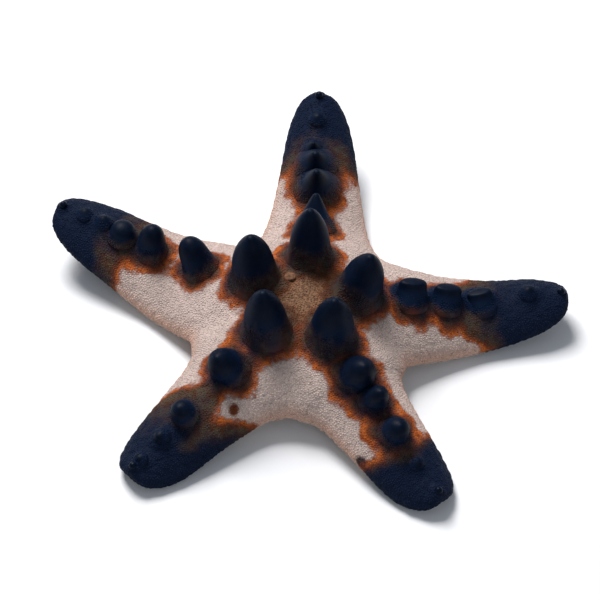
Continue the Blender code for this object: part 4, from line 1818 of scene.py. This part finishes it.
@dataclass
class Granules:
    """The coat of fine granules over the back and the horns' feet, and coarser ones below."""

    body: Body
    horns: list[Horn]
    markings: Markings
    spreader: Spreader
    back_spacing: float = 0.00050
    under_spacing: float = 0.00095
    back_width: float = 0.00030
    under_width: float = 0.00052
    back_height: float = 0.00009
    under_height: float = 0.00022
    width_spread: Pair = (0.80, 1.15)
    length_spread: Pair = (0.88, 1.12)
    height_spread: Pair = (0.75, 1.25)
    horn_foot: float = -0.20
    horn_top: float = 0.52
    stud_top: float = 0.85
    horn_tries: int = 50
    horn_cover: float = 1.15
    thins_from: float = 0.25
    least_rise: float = 0.00005
    root_shares: Pair = (0.95, 0.8)
    hidden_share: float = 0.97
    hidden_below: float = 2.0
    hidden_above: float = 1.1
    dim_share: float = 0.13
    dim: float = 0.80
    lightness_spread: float = 0.05
    dark_flatness: float = 0.45
    seed: int = 23

    def _bead(self) -> tuple[Array, Array]:
        """One granule: a small ball, pressed flat below.

        Returns:
            Its points and its faces.
        """
        deselect()
        bpy.ops.mesh.primitive_ico_sphere_add(subdivisions=1, radius=1.0)
        piece = bpy.context.object
        points = positions(piece.data)
        points[:, 2] = np.where(points[:, 2] < 0, points[:, 2] * 0.5, points[:, 2])
        faces = np.array([tuple(face.vertices) for face in piece.data.polygons])
        remove(piece)
        return points, faces

    def _open_skin(self, places: Array) -> Array:
        """Whether each place is on open skin, and not under a horn.

        Args:
            places: Places relative to the disc's centre.

        Returns:
            True of the open ones.
        """
        clear = np.ones(len(places), bool)
        for horn in self.horns:
            along, off = horn.split(places)
            share = along / horn.plan.height
            inside = off < horn.plan.base * horn.form.radius_at(share) * self.hidden_share
            beside = (along > -self.hidden_below * horn.plan.base) & (share < self.hidden_above)
            clear &= ~(inside & beside)
        return clear

    def _on_horn(self, horn: Horn, draw: np.random.Generator) -> Sample:
        """Granules on a horn's foot, fewer and fewer up its flank.

        Args:
            horn: The horn.
            draw: Source of random numbers.

        Returns:
            The granules' places, each with its root on the skin that the horn hides.
        """
        base, height = horn.plan.base, horn.plan.height
        top = self.stud_top if horn.is_stud else self.horn_top
        count = int(self.horn_tries * base * height / self.back_spacing**2)
        up = draw.uniform(self.horn_foot, top, count)
        turn = standing(horn.axis)
        angle = draw.uniform(0.0, 2 * math.pi, count)
        radial = np.cos(angle)[:, None] * turn[:, 0] + np.sin(angle)[:, None] * turn[:, 1]
        radius = horn.form.radius_at(up) * base
        step = 0.02
        widening = horn.form.radius_at(up + step) - horn.form.radius_at(up - step)
        slope = widening * base / (2 * step)
        outward = radial * height - horn.axis * slope[:, None]
        outward /= np.linalg.norm(outward, axis=1, keepdims=True)
        centre = self.body.centre + horn.root
        off = horn.pinched(radial * radius[:, None], up)
        places = centre + horn.axis * (up * height)[:, None] + off
        kept = self.spreader.thin(places, self.back_spacing)
        share = self.horn_cover * ramp(up[kept], top, self.thins_from * top)
        kept = kept[draw.random(len(kept)) < share]
        _, above = self.spreader.nearest(places[kept])
        kept = kept[above > self.least_rise]
        outer, drawn_in = self.root_shares
        hidden = outer - drawn_in * np.clip(up[kept] / top, 0.0, 1.0)
        below, _ = self.spreader.nearest(centre + radial[kept] * (base * hidden)[:, None])
        return Sample(places[kept], outward[kept], below.roots, np.ones(len(kept)))

    def _piece(self, name: str, sample: Sample, width: float, height: float) -> Object:
        """One piece of the coat.

        Args:
            name: The piece's name.
            sample: The granules' places.
            width: Half width of a granule.
            height: Height of a granule.

        Returns:
            The piece.
        """
        draw = np.random.default_rng(self.seed)
        count = len(sample.places)
        widths = width * draw.uniform(*self.width_spread, count)
        marks, grounds = self.markings.paint(sample.places - self.body.centre, sample.upper)
        lengths = widths * draw.uniform(*self.length_spread, count)
        heights = height * draw.uniform(*self.height_spread, count)
        heights = heights * (1 - self.dark_flatness * marks[:, 0])
        lightness = draw.normal(1.0, self.lightness_spread, count)
        lightness[draw.random(count) < self.dim_share] *= self.dim
        turns = frames_on(sample.outward, draw.uniform(0, SPIN, count))
        return Scatter(
            *self._bead(), sample.places, turns, np.stack((lengths, widths, heights), axis=1),
            sample.map_places(), marks, grounds, lightness,
        ).build(name)

    def build(self) -> list[Object]:
        """Grows the coat.

        Returns:
            The pieces of the coat.
        """
        finish = LivingFinish(
            "sea_star_granules", lift=1.0, grain_share=0.30, roughness=0.62, dark_roughness=0.50
        ).make()
        spreader = self.spreader
        draw = np.random.default_rng(self.seed)
        tri_upper = spreader.upper[spreader.tris].mean(axis=1)
        back = spreader.spread(self.back_spacing, tri_upper > BACK_FROM)
        back = back.kept(self._open_skin(back.places - self.body.centre))
        for horn in self.horns:
            back = back.with_more(self._on_horn(horn, draw))
        under = spreader.spread(self.under_spacing, tri_upper <= BACK_FROM)
        pieces = []
        plans = (
            ("back", back, self.back_width, self.back_height),
            ("underside", under, self.under_width, self.under_height),
        )
        for side, sample, width, height in plans:
            away = sample.places - self.body.centre
            owner = self.body.arm_of(away)
            for index, arm in enumerate(ARMS):
                left = away @ unit(arm.azimuth + 90) > 0
                halves = {"left": left, "right": ~left} if side == "back" else {"all": True}
                for half, share in halves.items():
                    mine = sample.kept((owner == index) & share)
                    name = f"granules_{side}_{arm.name}_{half}"
                    piece = self._piece(name, mine, width, height)
                    dress(piece, finish)
                    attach(piece, "root")
                    pieces.append(piece)
        return pieces


# -------------------- small plates


@dataclass
class SievePlate:
    """The grooved plate through which the animal takes in water."""

    body: Body
    segments: int = 40
    ridges: int = 10
    ridge_height: float = 0.00006
    lean: float = 12.0
    profile: Points = (
        (0.88, -0.60), (0.98, -0.25), (1.0, 0.0), (0.96, 0.12), (0.86, 0.21), (0.74, 0.27),
        (0.58, 0.32), (0.42, 0.35), (0.26, 0.37), (0.12, 0.38), (0.0, 0.38),
    )

    def build(self) -> Object:
        """Models the plate over its solid.

        Returns:
            The plate.
        """
        middle, size = box_of("sieve_plate")
        radius = size[0] / 2
        outline = [(out * radius, up * radius) for out, up in self.profile]
        piece = turned_master("sieve_plate_grooved", outline, self.segments)
        points = positions(piece.data)
        turn = np.arctan2(points[:, 1], points[:, 0])
        out = np.hypot(points[:, 0], points[:, 1]) / radius
        wave = np.sin(turn * self.ridges + 3.0 * np.sin(turn * 3) * out) * ramp(out, 0.1, 0.5)
        points[:, 2] += wave * self.ridge_height * (points[:, 2] > 0)
        outward = middle - self.body.centre
        azimuth = math.degrees(math.atan2(outward[1], outward[0]))
        stood = standing(leaning(azimuth, self.lean))
        set_positions(piece.data, points @ stood.T + middle)
        finish = PlainFinish(
            "sieve_plate_buff", (0.170, 0.070, 0.028), (0.060, 0.026, 0.013), 0.0006, 0.9
        )
        dress(piece, finish.make())
        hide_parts("sieve_plate")
        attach(piece, "root")
        return piece


@dataclass
class EyePlates:
    """The smooth bead with the eye at each arm's end."""

    segments: int = 24

    def build(self) -> list[Object]:
        """Models the five beads over their solids.

        Returns:
            The beads.
        """
        finish = HornFinish(name="eye_plate_dark", roughness=0.34).make()
        pieces = []
        for arm in ARMS:
            middle, size = box_of(f"eye_plate_{arm.name}")
            deselect()
            bpy.ops.mesh.primitive_uv_sphere_add(
                segments=self.segments, ring_count=self.segments // 2, radius=size[2] / 2,
                location=middle,
            )
            piece = bpy.context.object
            bpy.ops.object.transform_apply(location=True, rotation=False, scale=False)
            piece.name = f"eye_bead_{arm.name}"
            add_values(piece.data, "Lightness", np.ones(len(piece.data.vertices)))
            dress(piece, finish)
            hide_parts(f"eye_plate_{arm.name}")
            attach(piece, "root")
            pieces.append(piece)
        return pieces


# -------------------- the underside


# Outlines of a blunt spine and of a tube foot, as shares of its half width and length.
PEG_OUTLINE = ((0.80, 0.0), (1.0, 0.30), (0.95, 0.70), (0.62, 0.93), (0.0, 1.0))
FOOT_OUTLINE = ((0.80, 0.0), (0.62, 0.45), (0.60, 0.82), (0.98, 0.93), (0.90, 0.99), (0.0, 0.96))


@dataclass(frozen=True)
class PegRow:
    """A row of pegs or feet along both sides of every groove.

    Across is the place as a share of the groove's half width, beyond what is added to it, and the
    spans are the first and last station on an arm.
    """

    name: str
    half_width: float
    length: float
    pitch: float
    across: float
    beyond: float
    lean: float
    spans: Pair = (0.075, 0.955)


@dataclass
class Groove:
    """What lines the groove under each arm: short blunt spines at its edges, tube feet in it."""

    body: Body
    markings: Markings
    spreader: Spreader
    spine_rows: tuple[PegRow, ...] = (
        PegRow("inner_spines", 0.00023, 0.00150, 0.00052, 1.0, 0.00005, -24.0),
        PegRow("outer_spines", 0.00042, 0.00135, 0.00150, 1.0, 0.00105, 8.0),
    )
    foot_row: PegRow = PegRow("tube_feet", 0.00048, 0.00300, 0.00165, 0.45, 0.0, 4.0)
    spine_lengths: Pair = (0.85, 1.10)
    foot_lengths: Pair = (0.75, 1.25)
    width_spread: Pair = (0.88, 1.12)
    pitch_spread: float = 0.15
    lean_spread: float = 4.0
    sweep_spread: float = 0.08
    lightness_spread: float = 0.05
    start_height: float = -0.01
    floor_gap: float = 0.00025
    least_length: float = 0.0004
    sunk: float = 0.00015
    segments: int = 6
    seed: int = 41

    def _row(self, row: PegRow, draw: np.random.Generator) -> tuple[Sample, Array]:
        """Sets out a row's pegs.

        Args:
            row: The row.
            draw: Source of random numbers.

        Returns:
            Where the pegs stand on the skin, and the way each points.
        """
        starts, axes = [], []
        for arm in ARMS:
            count = int(arm.length * (row.spans[1] - row.spans[0]) / row.pitch)
            for side in (-1.0, 1.0):
                for at in np.linspace(*row.spans, count):
                    shift = draw.uniform(-self.pitch_spread, self.pitch_spread)
                    at = at + shift * row.pitch / arm.length
                    half = self.body.notch if at < self.body.half_width.points[0][0] else 0.0
                    half = half or float(self.body.arm_half(arm, at))
                    across = row.across * self.body.groove_half(at, half) + row.beyond
                    spot = self.body.place(arm, at, side * across, self.start_height)
                    along = self.body.heading(arm, at)
                    out = np.array((-along[1], along[0], 0.0)) * side
                    lean = math.radians(row.lean + draw.normal(0.0, self.lean_spread))
                    sweep = along * draw.normal(0.0, self.sweep_spread)
                    axes.append(out * math.sin(lean) - rise(math.cos(lean)) + sweep)
                    starts.append(spot + self.body.centre)
        sample, hit = self.spreader.from_below(np.array(starts))
        axes = np.array(axes)[hit]
        return sample, axes / np.linalg.norm(axes, axis=1, keepdims=True)

    def _stand(
        self, row: PegRow, master: Object, lengths: Array, sample: Sample,
        axes: Array, draw: np.random.Generator,
    ) -> Object:
        """Stands copies of a peg on the skin and joins them.

        Args:
            row: The row.
            master: The peg.
            lengths: How long each copy is, where the floor leaves it room.
            sample: Where the copies stand.
            axes: The way each points.
            draw: Source of random numbers.

        Returns:
            The piece.
        """
        points, faces = positions(master.data), triangles(master.data)
        room = (sample.places[:, 2] - self.floor_gap) / -axes[:, 2]
        lengths = np.minimum(lengths, room)
        fits = lengths > self.least_length
        sample, axes, lengths = sample.kept(fits), axes[fits], lengths[fits]
        count = len(lengths)
        width = row.half_width * draw.uniform(*self.width_spread, count)
        marks, grounds = self.markings.paint(sample.places - self.body.centre, sample.upper)
        piece = Scatter(
            points, faces, sample.places - axes * self.sunk,
            frames_on(axes, draw.uniform(0, SPIN, count)),
            np.stack((width, width, lengths + self.sunk), axis=1), sample.map_places(),
            marks, grounds, draw.normal(1.0, self.lightness_spread, count),
        ).build(row.name)
        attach(piece, "root")
        return piece

    def build(self) -> list[Object]:
        """Models spines and feet.

        Returns:
            A piece for each kind.
        """
        draw = np.random.default_rng(self.seed)
        peg = turned_master("peg_master", PEG_OUTLINE, self.segments)
        finish = LivingFinish(
            "sea_star_spines", lift=1.05, grain_share=0.2, roughness=0.6, dark_roughness=0.5
        ).make()
        pieces = []
        for row in self.spine_rows:
            sample, axes = self._row(row, draw)
            lengths = row.length * draw.uniform(*self.spine_lengths, len(axes))
            piece = self._stand(row, peg, lengths, sample, axes, draw)
            dress(piece, finish)
            pieces.append(piece)
        remove(peg)
        foot = turned_master("foot_master", FOOT_OUTLINE, self.segments + 2)
        sample, axes = self._row(self.foot_row, draw)
        lengths = self.foot_row.length * draw.uniform(*self.foot_lengths, len(axes))
        piece = self._stand(self.foot_row, foot, lengths, sample, axes, draw)
        soft = PlainFinish("tube_foot_buff", (0.52, 0.33, 0.24), (0.36, 0.20, 0.17), 0.0009, 0.4)
        dress(piece, soft.make())
        remove(foot)
        return [*pieces, piece]


@dataclass
class MouthFrame:
    """The ring of five jaws round the mouth, with their blunt spines and the soft lip inside."""

    body: Body
    jaw_reach: float = 0.0015
    throat: float = 0.0030
    jaw_width: float = 22.0
    round_steps: int = 60
    tube_steps: int = 10
    spine: Pair = (0.00026, 0.0013)
    spines_a_side: int = 5
    spine_segments: int = 6
    spine_turns: Pair = (4.0, 7.5)
    spine_shortening: float = 0.07
    spine_lean: float = 0.35
    spine_inset: float = 0.00022
    spine_drop: float = 0.0002
    lip_rise: float = 0.1

    def _opening(self, azimuths: Array) -> Array:
        """Radius of the opening at azimuths: wide over each groove, narrow at each jaw."""
        jaws = [self.body.notch_azimuth(arm) for arm in ARMS]
        off = np.min([np.abs((azimuths - jaw + 180) % 360 - 180) for jaw in jaws], axis=0)
        return self.throat - (self.throat - self.jaw_reach) * bell(off, 0.0, self.jaw_width)

    def _ring(self, outer: float, middle: Array, thick: float) -> Object:
        """Models the ring, drawn in to a jaw between each two grooves.

        Args:
            outer: Its outer radius.
            middle: Its middle.
            thick: Its thickness.

        Returns:
            The ring.
        """
        deselect()
        major = (outer + self.throat) / 2
        minor = (outer - self.throat) / 2
        bpy.ops.mesh.primitive_torus_add(
            major_segments=self.round_steps, minor_segments=self.tube_steps,
            major_radius=major, minor_radius=minor,
        )
        ring = bpy.context.object
        points = positions(ring.data)
        azimuths = np.degrees(np.arctan2(points[:, 1], points[:, 0]))
        radius = np.hypot(points[:, 0], points[:, 1])
        inner = self._opening(azimuths)
        share = (radius - self.throat) / (outer - self.throat)
        points[:, :2] *= ((inner + share * (outer - inner)) / radius)[:, None]
        points[:, 2] *= thick / 2 / minor
        set_positions(ring.data, points + middle)
        return ring

    def _spines(self, middle: Array) -> Object:
        """Models blunt spines along both sides of each jaw.

        Args:
            middle: The ring's middle.

        Returns:
            The spines, joined.
        """
        master = turned_master("oral_master", PEG_OUTLINE, self.spine_segments)
        width, length = self.spine
        first, apart = self.spine_turns
        copies = []
        for arm in ARMS:
            for side in (-1, 1):
                for step in range(self.spines_a_side):
                    azimuth = self.body.notch_azimuth(arm) + side * (first + apart * step)
                    out = unit(azimuth)
                    reach = float(self._opening(np.array([azimuth]))[0]) + self.spine_inset
                    axis = out * -self.spine_lean - rise(1.0)
                    axis = axis / np.linalg.norm(axis)
                    mesh = master.data.copy()
                    long = length * (1.0 - self.spine_shortening * step)
                    points = positions(mesh) * (width, width, long)
                    place = middle + out * reach - rise(self.spine_drop)
                    set_positions(mesh, points @ standing(axis).T + place)
                    copies.append(new_object("oral_spine", mesh))
        remove(master)
        return joined(copies)

    def _lip(self, outer: float, middle: Array) -> Object:
        """Models the soft skin that closes the ring, with the mouth as a dimple in it.

        Args:
            outer: The ring's outer radius.
            middle: Where it lies.

        Returns:
            The skin.
        """
        lip = turned_master("mouth_lip", (
            (0.00035, 0.0009), (0.00060, 0.0003), (0.00110, 0.0000), (0.6 * outer, 0.0001),
            (0.85 * outer, 0.0005), (0.6 * outer, 0.0012), (0.0, 0.0014),
        ), 30)
        set_positions(lip.data, positions(lip.data) + middle)
        return lip

    def build(self) -> Object:
        """Models the frame over its solid.

        Returns:
            The frame.
        """
        middle, size = box_of("mouth_plates")
        outer, thick = size[0] / 2, size[2]
        plate = PlainFinish("mouth_plate_tan", (0.58, 0.42, 0.32), (0.42, 0.28, 0.20), 0.0008, 0.6)
        soft = PlainFinish("mouth_lip_brown", (0.30, 0.16, 0.12), (0.20, 0.10, 0.08), 0.0008, 0.5)
        ring, spines = self._ring(outer, middle, thick), self._spines(middle)
        lip = self._lip(outer, middle + rise(self.lip_rise * thick))
        finish = plate.make()
        for part, look in ((ring, finish), (spines, finish), (lip, soft.make())):
            dress(part, look)
        ring = joined((ring, spines, lip))
        ring.name = "mouth_frame"
        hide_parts("mouth_plates")
        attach(ring, "root")
        return ring


# -------------------- studio


@dataclass(frozen=True)
class Lamp:
    """A soft square lamp: where it hangs, its size, its strength in watts and its colour."""

    name: str
    place: tuple[float, float, float]
    size: float
    watts: float
    colour: Colour


@dataclass
class Studio:
    """Pale floor, soft lamps and the camera."""

    middle: Array
    aim: tuple[float, float, float] = (-0.00106, 0.00843, 0.00659)
    elevation: float = 52.0
    distance: float = 0.90
    view_width: float = 0.1585
    sensor: float = 36.0
    floor_size: float = 3.0
    floor_colour: Colour = (0.80, 0.81, 0.83)
    floor_roughness: float = 0.9
    air_colour: Colour = (0.86, 0.92, 1.0)
    air_strength: float = 0.28
    lamps: tuple[Lamp, ...] = (
        Lamp("lamp_top", (-0.24, 0.52, 0.78), 0.42, 14.5, (1.0, 0.98, 0.97)),
        Lamp("lamp_front", (0.30, -0.80, 0.60), 0.70, 1.2, (0.88, 0.94, 1.0)),
    )

    @property
    def target(self) -> Vector:
        """The point that the camera and the lamps look at."""
        return Vector(self.middle + np.array(self.aim))

    def _floor(self) -> None:
        """A wide plain floor."""
        deselect()
        bpy.ops.mesh.primitive_plane_add(size=self.floor_size, location=(0.0, 0.0, 0.0))
        floor = bpy.context.object
        floor.name = "studio_floor"
        material, shader = fresh_material("studio_floor")
        shader.inputs["Base Color"].default_value = (*self.floor_colour, 1.0)
        shader.inputs["Roughness"].default_value = self.floor_roughness
        floor.data.materials.append(material)

    def _light(self) -> None:
        """Hangs the lamps and fills the room with a dim even light."""
        for lamp in self.lamps:
            light = bpy.data.lights.new(lamp.name, "AREA")
            light.energy, light.size, light.color = lamp.watts, lamp.size, lamp.colour
            held = bpy.data.objects.new(lamp.name, light)
            bpy.context.scene.collection.objects.link(held)
            held.location = lamp.place
            aim = self.target - Vector(lamp.place)
            held.rotation_euler = aim.to_track_quat("-Z", "Y").to_euler()
        world = bpy.data.worlds.new("studio_air")
        world.use_nodes = True
        air = world.node_tree.nodes["Background"]
        air.inputs["Color"].default_value = (*self.air_colour, 1.0)
        air.inputs["Strength"].default_value = self.air_strength
        bpy.context.scene.world = world

    def _camera(self) -> None:
        """Sets the camera at its angle, looking along +Y and down."""
        camera = bpy.data.cameras.new("studio_camera")
        camera.sensor_width = self.sensor
        camera.lens = self.sensor * self.distance / self.view_width
        camera.clip_start, camera.clip_end = 0.01, 10.0
        held = bpy.data.objects.new("studio_camera", camera)
        bpy.context.scene.collection.objects.link(held)
        tilt = math.radians(self.elevation)
        back = Vector((0.0, -math.cos(tilt), math.sin(tilt)))
        held.location = self.target + back * self.distance
        held.rotation_euler = (-back).to_track_quat("-Z", "Y").to_euler()
        bpy.context.scene.camera = held

    def build(self) -> None:
        """Sets the studio up."""
        self._floor()
        self._light()
        self._camera()
        bpy.context.scene.view_settings.view_transform = "Standard"


def main() -> None:
    """Builds the model and its studio."""
    logging.basicConfig(level=logging.INFO, format="%(name)s: %(message)s", stream=sys.stdout)
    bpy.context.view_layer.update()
    body = Body()
    horns = body.horns()
    markings = Markings(body, horns)
    skin = Skin(body, horns, markings).build()
    pieces = [skin, *Horns(body, horns, markings).build()]
    spreader = Spreader(skin)
    pieces += Granules(body, horns, markings, spreader).build()
    pieces += Groove(body, markings, spreader).build()
    pieces += [MouthFrame(body).build(), SievePlate(body).build(), *EyePlates().build()]
    for piece in pieces:
        LOG.info("%s: %d faces", piece.name, len(piece.data.polygons))
    Studio(body.centre).build()


if __name__ == "__main__":
    main()
